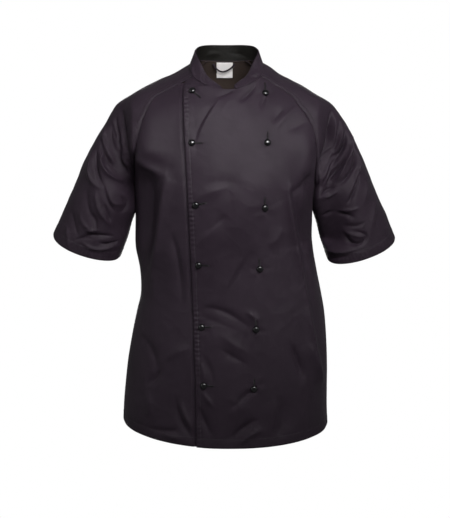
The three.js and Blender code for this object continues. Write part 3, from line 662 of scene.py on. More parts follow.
back = {"outer": outer, "normals": facing_out(outer, BODY_AXIS)}
piece = cloth_piece("back_twill", back["outer"], back["normals"], CLOTH_THICKNESS, twill)
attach(piece, "root")
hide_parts("back")


# Sleeves
# Each is one piece of twill from the neck to the cuff, sewn to the fronts and back along the raglan seams and
# closed under the arm. It is topstitched twice beside its seams and creased as if just pulled on.

# top is a place on the shoulder line and low one on the underarm seam. leave_front and leave_back are the
# directions in which the cloth leaves its seams. reach and round are how far those and the shoulder line's
# direction hold.
SLEEVE = chart(
    "station top_x top_y top_z low_x low_z sway left_drop leave_front leave_back reach round swing",
    (0.0, 75.5, -6, -8, 77, -8, 1.5, 0, 60, -60, 12, 20, 0),
    (0.07, 94, 0, -18, 94, -18, 2.5, 0, 58, -58, 20, 28, 0),
    (0.14, 117, 4, -31, 117, -31, 0, 0, 55, -52, 28, 34, 0),
    (0.21, 144, 6, -43, 144, -43, -2, 0, 50, -46, 32, 38, 0),
    (0.28, 172, 7, -56, 172, -56, -4, 0, 42, -40, 36, 42, 0),
    (0.35, 200, 8, -69, 180, -70, -4, 0, 36, -34, 40, 44, 0),
    (0.43, 223, 8, -84, 184, -90, -3, 0, 30, -28, 42, 46, 0),
    (0.52, 239, 8, -105, 187, -118, -2, 0, 20, -20, 44, 50, 0),
    (0.6, 255, 7, -130, 188, -145, -1, 0, 8, -10, 48, 56, 0),
    (0.68, 270, 6, -154, 189, -175, -1, 0, -8, 6, 54, 64, 0),
    (0.76, 283, 5, -179, 189, -205, -2, 0, -28, 26, 62, 74, 0),
    (0.84, 294, 4, -202, 189, -235, -3, 0, -50, 48, 72, 84, 1),
    (0.92, 303, 3, -222, 189, -262, -4, 0, -72, 70, 84, 92, 2),
    (1.0, 311, 2, -242, 189, -285, -4, 0, -90, 90, 94, 96, 3),
    (1.33, 328, 1, -282, 196, -328, -4, 0, -90, 90, 92, 92, 8),
    (1.67, 347, 0, -324, 206, -371, -4, 1, -90, 90, 86, 86, 13),
    (2.0, 368, -2, -370.5, 223, -416.5, -4, 3.5, -90, 90, 82, 80, 17),
)
SLEEVE_FOLDS = {
    "right": {
        "front": [
            (-215, -105, -209, -155, -196, -206, 3.6, 5.4, -10.1),
            (-219, -142, -211, -180, -200, -212, 3, 4.2, 6.9),
            (-230, -118, -228, -138, -221, -163, 3.6, 4.8, -6.1),
            (-236, -122, -229, -150, -226, -184, 3.6, 3.6, 4),
            (-240, -138, -238, -163, -228, -188, 3.6, 4.2, -6.4),
            (-254, -139, -253, -179, -234, -206, 3.6, 4.2, 7.8),
            (-259, -163, -250, -196, -228, -225, 3.6, 4.8, -8.1),
            (-257, -188, -255, -221, -218, -249, 4.8, 5.4, 9.4),
            (-219, -180, -208, -209, -201, -249, 3, 4.2, 6.9),
            (-270, -184, -269, -224, -254, -257, 4.8, 6, -8.1),
            (-281, -189, -284, -237, -260, -261, 6, 7.7, 6.9),
            (-254, -257, -246, -286, -234, -312, 4.2, 5.4, -6.9),
            (-271, -265, -265, -307, -243, -338, 5.4, 7.2, 6.1),
            (-246, -266, -238, -291, -218, -296, 6, 7.7, 4.4),
            (-222, -279, -210, -297, -221, -313, 4.8, 6, -4),
            (-254, -295, -247, -316, -243, -333, 4.8, 5.4, -4.8),
            (-288, -266, -289, -299, -272, -337, 6, 9, -4.4),
            (-306, -313, -298, -338, -277, -352, 6, 7.7, 4),
            (-280, -316, -272, -337, -277, -363, 4.8, 6, -4.4),
            (-325, -314, -320, -339, -311, -364, 5.4, 6, -4),
            (-298, -363, -273, -361, -240, -364, 3.6, 4.8, -6.9),
            (-294, -352, -281, -352, -268, -350, 3, 3.6, 4),
            (-265, -378, -249, -381, -229, -376, 3.6, 4.2, -5.3),
            (-299, -378, -274, -391, -237, -387, 4.2, 5.4, 6.4),
            (-338, -345, -334, -365, -334, -386, 6, 6, 3.8),
            (-316, -372, -298, -367, -282, -369, 3.6, 3.6, -4),
            (-239, -130, -229, -157, -213, -192, 3, 4, -3.9),
            (-252, -167, -245, -185, -232, -207, 4, 3, 3.9),
            (-217, -181, -200, -220, -182, -248, 4, 5, 5.2),
            (-193, -205, -184, -245, -181, -290, 9, 6, -15),
            (-212, -172, -198, -203, -186, -236, 4, 4, -6.5),
        ],
        "back": [
            (-246, -130, -238, -200, -206, -270, 12, 10, -6),
            (-266, -160, -260, -230, -216, -310, 10, 12, 6),
            (-282, -190, -270, -250, -226, -326, 8, 10, -4.5),
            (-296, -220, -284, -280, -240, -350, 10, 8, 4),
            (-236, -118, -226, -180, -202, -240, 7, 9, 4),
            (-300, -380, -270, -392, -240, -388, 9, 11, -3.4),
            (-318, -300, -300, -340, -262, -372, 10, 12, -3),
            (-262, -300, -250, -330, -236, -368, 10, 8, 3),
        ],
    },
    "left": {
        "front": [
            (220, -105, 217, -138, 213, -180, 3.6, 4.8, -9),
            (217, -142, 215, -163, 214, -184, 3, 3.6, 4),
            (237, -122, 232, -159, 220, -196, 3.6, 4.8, -7.3),
            (226, -114, 228, -142, 224, -175, 3.6, 4.2, 5.3),
            (249, -143, 244, -179, 218, -200, 3.6, 4.2, -9.7),
            (245, -138, 240, -163, 230, -188, 3.6, 4.2, 5.7),
            (226, -200, 214, -217, 202, -243, 3.6, 4.2, 6.9),
            (218, -184, 206, -205, 196, -231, 3.6, 4.8, -11.3),
            (246, -204, 229, -224, 214, -250, 3.6, 4.8, -11.3),
            (219, -225, 214, -238, 206, -255, 3, 3.6, 4),
            (240, -200, 234, -212, 225, -220, 3, 3.6, 3.8),
            (261, -151, 261, -188, 230, -249, 4.8, 6, 9),
            (265, -164, 270, -208, 238, -253, 4.2, 4.8, -11.3),
            (282, -201, 274, -237, 255, -286, 4.8, 6, 7.3),
            (276, -217, 273, -253, 257, -290, 3.6, 4.8, -6.9),
            (226, -262, 213, -266, 200, -276, 3.6, 4.8, -7.3),
            (232, -270, 219, -278, 206, -284, 3.6, 4.2, 5.3),
            (294, -247, 294, -271, 289, -296, 7.7, 9, 3.8),
            (235, -316, 251, -318, 268, -324, 3.6, 4.8, -5.3),
            (238, -310, 259, -309, 276, -304, 3.6, 4.8, 4),
            (203, -319, 214, -317, 226, -312, 3.6, 4.8, -4.4),
            (265, -354, 294, -363, 282, -380, 4.8, 6, -6.1),
            (252, -363, 265, -378, 286, -378, 3.6, 5.4, -8.1),
            (250, -354, 273, -363, 299, -363, 4.2, 4.8, 4.8),
            (214, -396, 237, -399, 270, -393, 4.2, 5.4, 6.9),
            (219, -417, 238, -412, 266, -402, 3.6, 4.8, -3.2),
            (318, -291, 310, -322, 303, -364, 7.7, 9, 3.8),
            (248, -342, 273, -342, 290, -334, 4.8, 6, -4),
            (220, -108, 215, -157, 196, -205, 4, 5, -5.2),
            (234, -122, 230, -167, 202, -227, 4, 4, 4.4),
            (272, -220, 268, -262, 255, -293, 4, 5, -4.4),
            (205, -190, 196, -220, 188, -262, 5, 9, -15.4),
            (219, -132, 212, -180, 194, -214, 4, 5, -10.9),
            (246, -152, 236, -190, 206, -226, 4, 5, -5.2),
        ],
        "back": [
            (246, -134, 238, -204, 206, -272, 10, 12, -6),
            (268, -164, 258, -236, 216, -312, 12, 10, 6),
            (284, -196, 270, -256, 228, -330, 10, 8, -4.5),
            (298, -224, 284, -286, 240, -354, 8, 10, 4),
            (236, -122, 226, -186, 202, -244, 9, 7, 4),
            (302, -376, 270, -394, 240, -390, 11, 9, -3.4),
            (322, -310, 300, -348, 262, -376, 12, 10, -3),
            (262, -296, 252, -330, 238, -366, 8, 10, 3),
        ],
    },
}
RAGLAN_STITCHING, CUFF_STITCHING = (2, 9.4), 22
SEAM_ALLOWANCE = 4


def sleeve_surface(way, across, station):
    """Places on a sleeve. across goes from front seam (0) over the shoulder (0.5) to the back seam (1)."""
    level = np.maximum(read(RAGLAN, "level", np.minimum(station, 1)), UNDERARM)
    rows = {name: read(SLEEVE, name, station)[:, None] for name in SLEEVE["names"]}
    left_drop, zero = way * rows["left_drop"], 0 * rows["sway"]
    top = np.stack([way * rows["top_x"] + rows["sway"], rows["top_y"], rows["top_z"] - left_drop], -1)
    low = np.stack([way * rows["low_x"] + rows["sway"], zero, rows["low_z"] - left_drop], -1)
    underarm = ring(way * math.pi / 2, UNDERARM)
    start = np.stack([way * 189 + rows["sway"], zero, zero + UNDERARM], -1)
    low = low + (underarm - start) * (1 - smooth_step(1, 1.6, station))[:, None, None]
    halves = []
    for face, towards in (("front", -1), ("back", 1)):
        t = np.clip(across * 2 if face == "front" else (1 - across) * 2, 0, 1)[None, :, None]
        turn = seam_angle(level, face)
        seam = np.where((station >= 1)[:, None, None], low, ring(way * turn, level)[:, None])
        out, swing = np.radians(rows[f"leave_{face}"]), np.radians(rows["swing"])
        rise = (top[..., 2] - seam[..., 2]) / np.maximum(np.abs(top[..., 0] - seam[..., 0]), 1)
        climb = np.cos(out) * rise + towards * np.abs(np.sin(out)) * np.sin(swing)
        leave = np.stack([way * np.cos(out), np.sin(out) * np.cos(swing), climb], -1)
        arrive = np.stack([0 * swing, towards * np.cos(swing), towards * np.sin(swing)], -1)
        p1, p2 = seam + leave * rows["reach"][..., None], top + arrive * rows["round"][..., None]
        bowed = (1 - t) ** 3 * seam + 3 * t * (1 - t) ** 2 * p1 + 3 * t * t * (1 - t) * p2 + t**3 * top
        on_ring = np.where(station >= 1, 0, 1 - smooth_step(0.1, 0.5, station))[:, None, None]
        ringed = ring(way * (turn[:, None] * (1 - t[..., 0]) + math.pi / 2 * t[..., 0]), level[:, None])
        halves.append(bowed * (1 - on_ring) + ringed * on_ring)
    return np.where((across <= 0.5)[None, :, None], halves[0], halves[1])


sleeves = {}
for side, way, armpit_rise in (("left", 1, 3.5), ("right", -1, 5.5)):
    station = np.r_[np.linspace(0, 1, 124), np.linspace(1, 2, 70)[1:]]
    place = evened(filled_out(sleeve_surface(way, np.linspace(0, 1, 161), station)), 210)
    normals = surface_normals(place) * way
    away = from_edges(place)
    from_seams = np.minimum(away["first"], away["last"])
    relief = fold_relief(SLEEVE_FOLDS[side], place, normals)
    relief += 0.9 * rumple(place, 80, 7) + 0.3 * rumple(place, 30, 8)
    relief *= smooth_step(0, 22, from_seams) * smooth_step(0, 14, away["top"])
    on_raglan = smooth_step(1.02, 0.98, station)[:, None]
    for edge, seed in (("first", 31), ("last", 32)):
        relief += on_raglan * stitched_edge(away[edge], away["top"], RAGLAN_STITCHING, 0.35, seed)
        relief += (1 - on_raglan) * stitched_edge(away[edge], away["top"], [], 0.3, seed)
    relief += stitched_edge(away["bottom"], away["first"], [CUFF_STITCHING], 0.3, 33)
    relief -= 0.8 * bump(away["top"], 0, 1.5)
    relief += armpit_rise * bump(station, 1.2, 0.17)[:, None] * smooth_step(70, 30, from_seams)
    outer = place + normals * relief[..., None]
    sleeves[side] = {"outer": outer, "normals": surface_normals(outer) * way}
    turned_in = outer.copy()
    allowance = SEAM_ALLOWANCE * (smooth_step(0.45, 0.6, station) * smooth_step(1.01, 0.97, station))[:, None]
    turned_in[:, 0] += allowance * unit(outer[:, 0] - outer[:, 1])
    turned_in[:, -1] += allowance * unit(outer[:, -1] - outer[:, -2])
    piece = cloth_piece(f"sleeve_{side}_twill", turned_in, sleeves[side]["normals"], CLOTH_THICKNESS, twill)
    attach(piece, "root")
    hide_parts(f"sleeve_{side}")


# Collar
# A band of two layers and an interlining, edge-stitched 4 mm in, standing on the neck seam. Its ends stop
# short of the centre front, and worn soft it leans in and creases.
COLLAR = chart(
    "angle height lean",
    (8, 4, 60),
    (14, 10, 60),
    (25, 17, 62),
    (45, 24, 66),
    (60, 26, 58),
    (75, 26, 40),
    (90, 25, 26),
    (110, 27, 18),
    (130, 30, 13),
    (155, 32.4, 10),
    (180, 33.2, 9),
)
COLLAR_FOLDS = {
    "front": [
        (-54, -10, -52, -29, -51, -47, 4.6, 6.3, 1.8),
        (-45, -25, -43, -39, -41, -49, 4.6, 6.3, -2),
        (-62, -10, -64, -25, -58, -39, 6.3, 6.3, -1.4),
        (-71, -10, -68, -23, -65, -36, 6.3, 6.3, 1.2),
        (-37, -39, -29, -47, -20, -51, 5, 6.3, -1.2),
        (50, -35, 60, -34, 70, -37, 4.6, 6.3, -2),
        (45, -47, 54, -47, 62, -45, 5, 6.3, -1.6),
        (67, -18, 62, -27, 52, -33, 6.3, 6.3, 1.4),
        (75, -10, 77, -21, 75, -31, 6.3, 6.3, -1.2),
        (37, -39, 29, -45, 23, -51, 5, 6.3, 1.2),
    ],
    "back": [
        (-40, 10, -30, 16, -12, 14, 5, 7, -1.2),
        (44, 8, 30, 14, 10, 16, 5, 7, 1),
    ],
}
COLLAR_THICKNESS = 2.2
COLLAR_STITCHING = 4
COLLAR_FOOT = 2
NECK_MIDDLE = np.array([3, -10.0, 0])
# The band's inner face, toward the neck, gets a far darker colour, 100f0d, than the wrong side of the other
# pieces: painted shade inside the band.
collar_twill_painted_shade_inside = make_twill("black_twill_painted_shade_inside", "100f0d")
turn = np.radians(np.linspace(12.5, 352, 300))
turn = np.where(turn > math.pi, turn - 2 * math.pi, turn)
degrees_round = np.degrees(np.abs(turn))
lean = np.radians(read(COLLAR, "lean", degrees_round))[:, None]
foot = ring(turn, NECK)
inwards = unit((NECK_MIDDLE - foot) * (1, 1, 0))
up = inwards * np.sin(lean) + np.array([0, 0, 1.0]) * np.cos(lean)
height = COLLAR_FOOT + 0.5 + read(COLLAR, "height", degrees_round)
rise = np.linspace(0, 1, 17)[:, None] * height - COLLAR_FOOT
place = evened(foot + up * rise[..., None], 240)
normals = facing_out(place, NECK_MIDDLE)
away = from_edges(place)
relief = 1.8 * fold_relief(COLLAR_FOLDS, place, normals) + 0.4 * rumple(place, 40, 9)
relief *= smooth_step(0, 4, away["top"])
relief += COLLAR_THICKNESS - 0.5 * bump(away["top"], 0, 2.5)
relief += stitched_edge(away["bottom"], away["first"], [COLLAR_STITCHING], 0.2, 41)
from_ends = np.minimum(away["first"], away["last"])
relief += stitched_edge(from_ends, away["top"], [COLLAR_STITCHING], 0.15, 42)
outer = place + normals * relief[..., None]
collar = {"outer": outer, "normals": facing_out(outer, NECK_MIDDLE)}
piece = cloth_piece("collar_twill_painted_shade_inside", outer, collar["normals"], COLLAR_THICKNESS, collar_twill_painted_shade_inside)
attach(piece, "root")
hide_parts("collar")


# Topstitching
# Lockstitch in black core-spun thread: twice along the raglan seams, once along the closing edge, the
# collar, the hems and the vents. The real thread is 0.35 mm thick and is drawn 0.8 mm, so that it shows.
thread, tree = new_material("black_core_spun_thread")
strands = noise(tree, add_node(tree, "ShaderNodeTexCoord").outputs["Object"], 2600)
finish(
    tree,
    {
        "Base Color": blend(tree, strands, "0d0b0d", "191619"),
        "Roughness": between(tree, strands, 0.4, 0.6),
        "Normal": raised(tree, strands, 0.3, 0.0001),
        "Specular IOR Level": 0.45,
    },
)

lockstitch = bpy.data.node_groups.new("lockstitch", "GeometryNodeTree")
lockstitch.interface.new_socket("Geometry", in_out="INPUT", socket_type="NodeSocketGeometry")
for size in ("Stitch pitch", "Stitch length", "Thread width", "Thread height"):
    lockstitch.interface.new_socket(size, in_out="INPUT", socket_type="NodeSocketFloat")
lockstitch.interface.new_socket("Thread", in_out="INPUT", socket_type="NodeSocketMaterial")
lockstitch.interface.new_socket("Geometry", in_out="OUTPUT", socket_type="NodeSocketGeometry")
given = add_node(lockstitch, "NodeGroupInput").outputs
line = add_node(lockstitch, "GeometryNodeMeshToCurve", None, {"Mesh": given["Geometry"]})
holes = add_node(
    lockstitch,
    "GeometryNodeResampleCurve",
    {"mode": "LENGTH"},
    {"Curve": line.outputs["Curve"], "Length": given["Stitch pitch"]},
)
course = add_node(lockstitch, "GeometryNodeInputTangent")
cloth_faces = add_node(
    lockstitch, "GeometryNodeInputNamedAttribute", {"data_type": "FLOAT_VECTOR"}, {"Name": "outwards"}
)
laid_along = add_node(
    lockstitch, "FunctionNodeAlignRotationToVector", {"axis": "X"}, {"Vector": course.outputs["Tangent"]}
)
laid_flat = add_node(
    lockstitch,
    "FunctionNodeAlignRotationToVector",
    {"axis": "Z", "pivot_axis": "X"},
    {"Rotation": laid_along.outputs["Rotation"], "Vector": cloth_faces.outputs["Attribute"]},
)
stitch = add_node(lockstitch, "GeometryNodeMeshUVSphere", None, {"Segments": 6, "Rings": 4, "Radius": 0.5})
stitch_size = add_node(
    lockstitch,
    "ShaderNodeCombineXYZ",
    None,
    {"X": given["Stitch length"], "Y": given["Thread width"], "Z": given["Thread height"]},
)
sewn = add_node(
    lockstitch,
    "GeometryNodeInstanceOnPoints",
    None,
    {
        "Points": holes.outputs["Curve"],
        "Instance": stitch.outputs["Mesh"],
        "Rotation": laid_flat.outputs["Rotation"],
        "Scale": stitch_size.outputs["Vector"],
    },
)
real = add_node(lockstitch, "GeometryNodeRealizeInstances", None, {"Geometry": sewn.outputs["Instances"]})
smooth = add_node(lockstitch, "GeometryNodeSetShadeSmooth", None, {"Geometry": real.outputs["Geometry"]})
dyed = add_node(
    lockstitch,
    "GeometryNodeSetMaterial",
    None,
    {"Geometry": smooth.outputs["Geometry"], "Material": given["Thread"]},
)
add_node(lockstitch, "NodeGroupOutput", None, {"Geometry": dyed.outputs["Geometry"]})


def sew_along(name, lines, pitch, length, width=0.8, height=0.5):
    """One mesh of stitches along lines of places, each with the way its cloth faces."""
    places = np.concatenate([line[0] for line in lines]) * 0.001
    facing = np.concatenate([line[1] for line in lines])
    ends = np.cumsum([len(line[0]) for line in lines])
    links = [(i, i + 1) for i in range(len(places) - 1) if i + 1 not in ends]
    mesh = bpy.data.meshes.new(name)
    mesh.from_pydata(places.tolist(), links, [])
    mesh.attributes.new("outwards", "FLOAT_VECTOR", "POINT").data.foreach_set("vector", facing.ravel())
    piece = bpy.data.objects.new(name, mesh)
    scene.collection.objects.link(piece)
    modifier = piece.modifiers.new("lockstitch", "NODES")
    modifier.node_group = lockstitch
    sizes = {"Stitch pitch": pitch, "Stitch length": length, "Thread width": width, "Thread height": height}
    for socket in lockstitch.interface.items_tree:
        if socket.name in sizes:
            modifier[socket.identifier] = sizes[socket.name] * 0.001
        elif socket.name == "Thread":
            modifier[socket.identifier] = thread
    bpy.context.view_layer.update()
    made = bpy.data.meshes.new_from_object(piece.evaluated_get(bpy.context.evaluated_depsgraph_get()))
    piece.modifiers.clear()
    piece.data = made
    made.name = name
    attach(piece, "root")


def inset(sheet, edge, distance, start, stop):
    """The line a distance in from one edge of a panel, over some of its rows or columns."""
    away, places, normals = from_edges(sheet["outer"])[edge], sheet["outer"], sheet["normals"]
    if edge in ("top", "bottom"):
        away, places, normals = away.T, places.transpose(1, 0, 2), normals.transpose(1, 0, 2)
    if edge in ("last", "bottom"):
        away, places, normals = away[:, ::-1], places[:, ::-1], normals[:, ::-1]
    found, facing = [], []
    for run, row, faces in list(zip(away, places, normals))[start:stop]:
        found.append([np.interp(distance, run, row[:, k]) for k in range(3)])
        facing.append([np.interp(distance, run, faces[:, k]) for k in range(3)])
    return np.array(found) + 0.12 * np.array(facing), unit(np.array(facing))


raglan_lines = [
    inset(sleeve, edge, distance, 3, 121)
    for sleeve in sleeves.values()
    for edge in ("first", "last")
    for distance in RAGLAN_STITCHING
]
edge_lines = [inset(sheet, "last", EDGE_STITCHING, 4, -9) for sheet in fronts.values()]
VENT_STITCHING = 8
vents = [(fronts["left"], "first", -34, -9), (fronts["right"], "first", -24, -6)]
vents += [(back, "first", -24, -6), (back, "last", -24, -6)]
edge_lines += [inset(sheet, edge, VENT_STITCHING, start, stop) for sheet, edge, start, stop in vents]
hem_lines = [inset(sheet, "bottom", HEM_STITCHING, 2, -2) for sheet in (*fronts.values(), back)]
hem_lines += [inset(sleeve, "bottom", CUFF_STITCHING, 2, -2) for sleeve in sleeves.values()]
collar_lines = [inset(collar, "bottom", COLLAR_STITCHING, 4, -4)]
collar_lines += [inset(collar, end, COLLAR_STITCHING, 2, -2) for end in ("first", "last")]
sew_along("raglan_topstitching", raglan_lines, pitch=3.2, length=2.5)
sew_along("edge_topstitching", edge_lines, pitch=3.2, length=2.5)
sew_along("hem_stitching", hem_lines, pitch=3.2, length=2.5)
sew_along("collar_topstitching", collar_lines, pitch=3.0, length=2.3)


# Buttonholes
# Twelve in the closing front: those of the edge's row lie across and those of the other row stand above
# their studs. Each is a slit 20 mm long inside a bar of purl stitches, drawn coarser than the real 0.4 mm.
# The slit is a thin near-black sheet laid on the cloth: painted shadow in place of the opening.
HOLE_LENGTH = 20
# How each buttonhole is turned, in degrees from lying straight across.
TILTS = {"right": (-38, 0, 12, -3, 2, -5), "left": (91, 88, 90, 94, 90, 87)}
SLIT_HALF_WIDTH = {"right": 0.7, "left": 0.3}
PURL_HALF_WIDTH = 1.25


def met_straight_on(sheet, x, z):
    """Where a line along Y meets a panel's outer face, and the way the cloth faces there."""
    places, normals = sheet["outer"].reshape(-1, 3), sheet["normals"].reshape(-1, 3)
    shape = np.shape(x) + (3,)
    x, z = np.ravel(x), np.ravel(z)
    nearest = ((places[:, 0] - x[:, None]) ** 2 + (places[:, 2] - z[:, None]) ** 2).argmin(1)
    place, facing = places[nearest], normals[nearest]
    y = place[:, 1] - (facing[:, 0] * (x - place[:, 0]) + facing[:, 2] * (z - place[:, 2])) / facing[:, 1]
    return np.stack([x, y, z], -1).reshape(shape), facing.reshape(shape)


# A near-black colour with a faint random mottle: painted shadow for the buttonhole openings.
slit_shade, tree = new_material("shadowed_slit_in_twill")
slit_shade_mottle = noise(tree, add_node(tree, "ShaderNodeTexCoord").outputs["Object"], 1500)
slit_colour = blend(tree, slit_shade_mottle, "040304", "0a090a")
finish(tree, {"Base Color": slit_colour, "Roughness": 0.95, "Specular IOR Level": 0.1})
purl_lines = []
for side in ("right", "left"):
    for n, (stud, tilt) in enumerate(zip(STUDS[side], TILTS[side])):
        along = np.array([math.cos(math.radians(tilt)), math.sin(math.radians(tilt))])
        across = np.array([-along[1], along[0]])
        turn = np.linspace(0, 2 * math.pi, 90)[:, None]
        run = np.clip(np.cos(turn) * 1.6, -1, 1) * HOLE_LENGTH / 2 + 2 + HOLE_LENGTH / 2
        spot = np.array(stud) + run * along + np.sin(turn) * PURL_HALF_WIDTH * across
        place, facing = met_straight_on(fronts["left"], spot[:, 0], spot[:, 1])
        purl_lines.append((place + 0.15 * facing, facing))
        run = np.linspace(3, HOLE_LENGTH + 1, 16)[:, None]
        gape = SLIT_HALF_WIDTH[side] * np.sin(math.pi * (run - 2) / HOLE_LENGTH) ** 0.35 + 0.05
        wide = gape * np.linspace(-1, 1, 4)
        spot = np.array(stud) + run[..., None] * along + wide[..., None] * across
        place, facing = met_straight_on(fronts["left"], spot[..., 0], spot[..., 1])
        slit = cloth_piece(f"buttonhole_slit_{side}_{n + 1}", place + 0.3 * facing, facing, 0.25, slit_shade)
        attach(slit, "root")
sew_along("buttonhole_purl_stitches", purl_lines, pitch=0.8, length=0.75, width=1.7, height=0.9)


# Stud buttons
# Removable domed studs of black polished plastic, 14.4 mm across, pushed through both fronts. They mirror
# the lights.
STUD_RADIUS, STUD_HEIGHT, STUD_SIDES = 7.2, 6.2, 48
# The dome from its underside to its crown, as shares of the radius and the height.
STUD_PROFILE = (
    (0.8, -0.1),
    (0.94, 0.03),
    (1.0, 0.16),
    (0.995, 0.3),
    (0.95, 0.47),
    (0.86, 0.65),
    (0.72, 0.81),
    (0.52, 0.92),
    (0.28, 0.985),
)
stud_plastic, tree = new_material("black_polished_plastic")
handling = noise(tree, add_node(tree, "ShaderNodeTexCoord").outputs["Object"], 320, 4, 0.7)
finish(
    tree,
    {
        "Base Color": blend(tree, handling, "040405", "08080a"),
        "Roughness": between(tree, handling, 0.06, 0.2, 0.3, 0.75),
        "Normal": raised(tree, handling, 0.06, 0.0001),
        "IOR": 1.46,
        "Coat Weight": 0.1,
        "Coat Roughness": 0.05,
    },
)


def dome(seat, axis):
    """Places and faces of one stud that sits on a place of the cloth and stands along axis."""
    turn = np.linspace(0, 2 * math.pi, STUD_SIDES, endpoint=False)[:, None]
    right = unit(np.cross([0, 0, 1.0], axis))
    spoke = np.cos(turn) * right + np.sin(turn) * np.cross(axis, right)
    rings = [seat + spoke * out * STUD_RADIUS + axis * high * STUD_HEIGHT for out, high in STUD_PROFILE]
    underside, crown = seat - axis * 0.1 * STUD_HEIGHT, seat + axis * STUD_HEIGHT
    top_ring = (len(rings) - 1) * STUD_SIDES
    faces = []
    for s in range(STUD_SIDES):
        after = (s + 1) % STUD_SIDES
        for r in range(0, top_ring, STUD_SIDES):
            faces.append([r + s, r + after, r + STUD_SIDES + after, r + STUD_SIDES + s])
        faces.append([after, s, top_ring + STUD_SIDES])
        faces.append([top_ring + s, top_ring + after, top_ring + STUD_SIDES + 1])
    return np.concatenate([*rings, [underside], [crown]]), faces


for side in ("right", "left"):
    for n, (x, z) in enumerate(STUDS[side]):
        turn = np.linspace(0, 2 * math.pi, STUD_SIDES, endpoint=False)
        below, facing = met_straight_on(fronts["left"], x + 5 * np.cos(turn), z + 5 * np.sin(turn))
        axis = unit(facing.mean(0))
        seat = met_straight_on(fronts["left"], [x], [z])[0][0]
        seat = seat + axis * (0.2 + max(0, ((below - seat) @ axis).max()) * 0.7)
        places, faces = dome(seat, axis)
        mesh = bpy.data.meshes.new(f"stud_{side}_{n + 1}")
        mesh.from_pydata((places * 0.001).tolist(), [], faces)
        mesh.shade_smooth()
        mesh.materials.append(stud_plastic)
        stud = bpy.data.objects.new(f"stud_{side}_{n + 1}", mesh)
        scene.collection.objects.link(stud)
        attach(stud, "root")
        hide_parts(f"button_{side}_{n + 1}")


# Label
# A blank woven label of white satin, 35 mm wide, sewn into the back neck seam, its lower edge standing a
# little free.
LABEL_LEFT, LABEL_RIGHT, LABEL_TOP, LABEL_FOOT = -20.5, 14.5, -1.5, -34
satin, tree = new_material("white_woven_satin")
cloth = add_node(tree, "ShaderNodeUVMap", {"uv_map": "cloth"}).outputs["UV"]
threads = {}
for direction, scale, distortion in (("X", 500.0, 0.6), ("Y", 350.0, 0.4)):
    wanted = {"Vector": cloth, "Scale": scale, "Distortion": distortion}
    wave = add_node(tree, "ShaderNodeTexWave", {"bands_direction": direction}, wanted)
    threads[direction] = wave.outputs["Fac"]
crossed = add_node(tree, "ShaderNodeMath", {"operation": "MULTIPLY"}, {0: threads["X"], 1: threads["Y"]})
weave = crossed.outputs["Value"]
finish(
    tree,
    {
        "Base Color": blend(tree, weave, "e9e5e4", "f6f3f2"),
        "Roughness": 0.42,
        "Normal": raised(tree, weave, 0.35, 0.0002),
        "Sheen Weight": 0.2,
    },
)
across, down = np.meshgrid(np.linspace(0, 1, 36), np.linspace(0, 1, 34))
x = LABEL_LEFT + across * (LABEL_RIGHT - LABEL_LEFT)
z = LABEL_TOP + down * (LABEL_FOOT - LABEL_TOP) - 0.3 * np.sin(math.pi * across)
inwards = 2.6 + 0.9 * smooth_step(0.5, 1, down) + 0.25 * np.sin(9 * across + 2) * down
place, facing = met_straight_on(back, x, z)
grid = place - facing * inwards[..., None]
label = cloth_piece("woven_label", grid, -unit(facing.mean((0, 1)) + 0.3 * facing), 0.7, satin)
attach(label, "root")
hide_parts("label")


# Hanger loop
# A narrow folded strip of the twill, its two ends caught in the neck seam, sagging in front of the label.
# It is for hanging the jacket up.
LOOP_HALF_WIDTH = 1.7
t = np.linspace(0, 1, 60)
place, facing = met_straight_on(back, -27.5 + 46.5 * t, -4 - 13 * np.sin(math.pi * t**0.8) ** 0.8)
place = place - facing * (4 + 5.6 * np.sin(math.pi * t) ** 0.6)[:, None]
across_loop = unit(np.cross(unit(np.gradient(place, axis=0)), facing))
width = np.linspace(-LOOP_HALF_WIDTH, LOOP_HALF_WIDTH, 7)[:, None]
crown = 0.5 * (1 - (width / LOOP_HALF_WIDTH) ** 2)
grid = place[:, None] + across_loop[:, None] * width - facing[:, None] * crown
loop = cloth_piece("hanger_loop_twill", grid, np.broadcast_to(-facing[:, None], grid.shape), 1.2, twill)
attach(loop, "root")
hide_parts("hanger_loop")


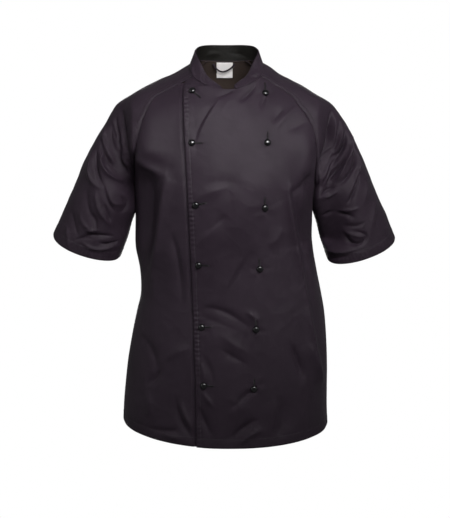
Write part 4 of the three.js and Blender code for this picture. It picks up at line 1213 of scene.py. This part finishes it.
# Floor, backdrop and lights
# A white sweep, and soft lights as in a studio: the main ones high in front and turned to the chest, weaker
# ones at both sides, and one behind that shows the back.
WHITE = (1, 1, 1, 1)
FLOOR_LEVEL, FLOOR_REACH = -1.45, 30
floor_white, tree = new_material("white_floor")
glow = add_node(tree, "ShaderNodeEmission", None, {"Color": WHITE, "Strength": 1.0})
add_node(tree, "ShaderNodeOutputMaterial", None, {"Surface": glow.outputs["Emission"]})
mesh = bpy.data.meshes.new("floor")
corners = [(x * FLOOR_REACH, y * FLOOR_REACH, FLOOR_LEVEL) for x, y in ((-1, -1), (1, -1), (1, 1), (-1, 1))]
mesh.from_pydata(corners, [], [(0, 1, 2, 3)])
mesh.materials.append(floor_white)
floor = bpy.data.objects.new("floor", mesh)
scene.collection.objects.link(floor)
floor.visible_diffuse = floor.visible_glossy = floor.visible_shadow = False

# The backdrop is seen as plain white, and lights the jacket only faintly.
world = bpy.data.worlds.new("white_studio")
scene.world = world
world.use_nodes = True
world.node_tree.nodes.clear()
seen = add_node(world.node_tree, "ShaderNodeLightPath").outputs["Is Camera Ray"]
strength = between(world.node_tree, seen, 0.19, 1.0)
sky = add_node(world.node_tree, "ShaderNodeBackground", None, {"Color": WHITE, "Strength": strength})
add_node(world.node_tree, "ShaderNodeOutputWorld", None, {"Surface": sky.outputs["Background"]})

for name, place, aim, size, power, spread in (
    ("key_light", (0.25, -1.3, 0.6), (0.0, -0.1, -0.12), (0.8, 0.6), 4.15, 60),
    ("right_light", (0.7, -1.2, 0.6), (0.0, -0.1, -0.12), (0.8, 0.6), 1.7, 60),
    ("right_fill", (2.0, -0.9, 0.2), (0.0, 0.0, -0.3), (1.0, 1.4), 2.2, 150),
    ("left_fill", (-2.0, -0.9, 0.2), (0.0, 0.0, -0.3), (1.0, 1.4), 5.0, 150),
    ("rear_light", (0.0, 1.7, -0.35), (0.0, 0.1, -0.4), (1.2, 1.2), 6.0, 110),
):
    light = bpy.data.objects.new(name, bpy.data.lights.new(name, "AREA"))
    light.data.shape = "RECTANGLE"
    light.data.size, light.data.size_y = size
    light.data.energy = power
    light.data.spread = math.radians(spread)
    light.location = place
    light.rotation_euler = (Vector(aim) - Vector(place)).to_track_quat("-Z", "Y").to_euler()
    scene.collection.objects.link(light)
scene.view_settings.view_transform = "Standard"
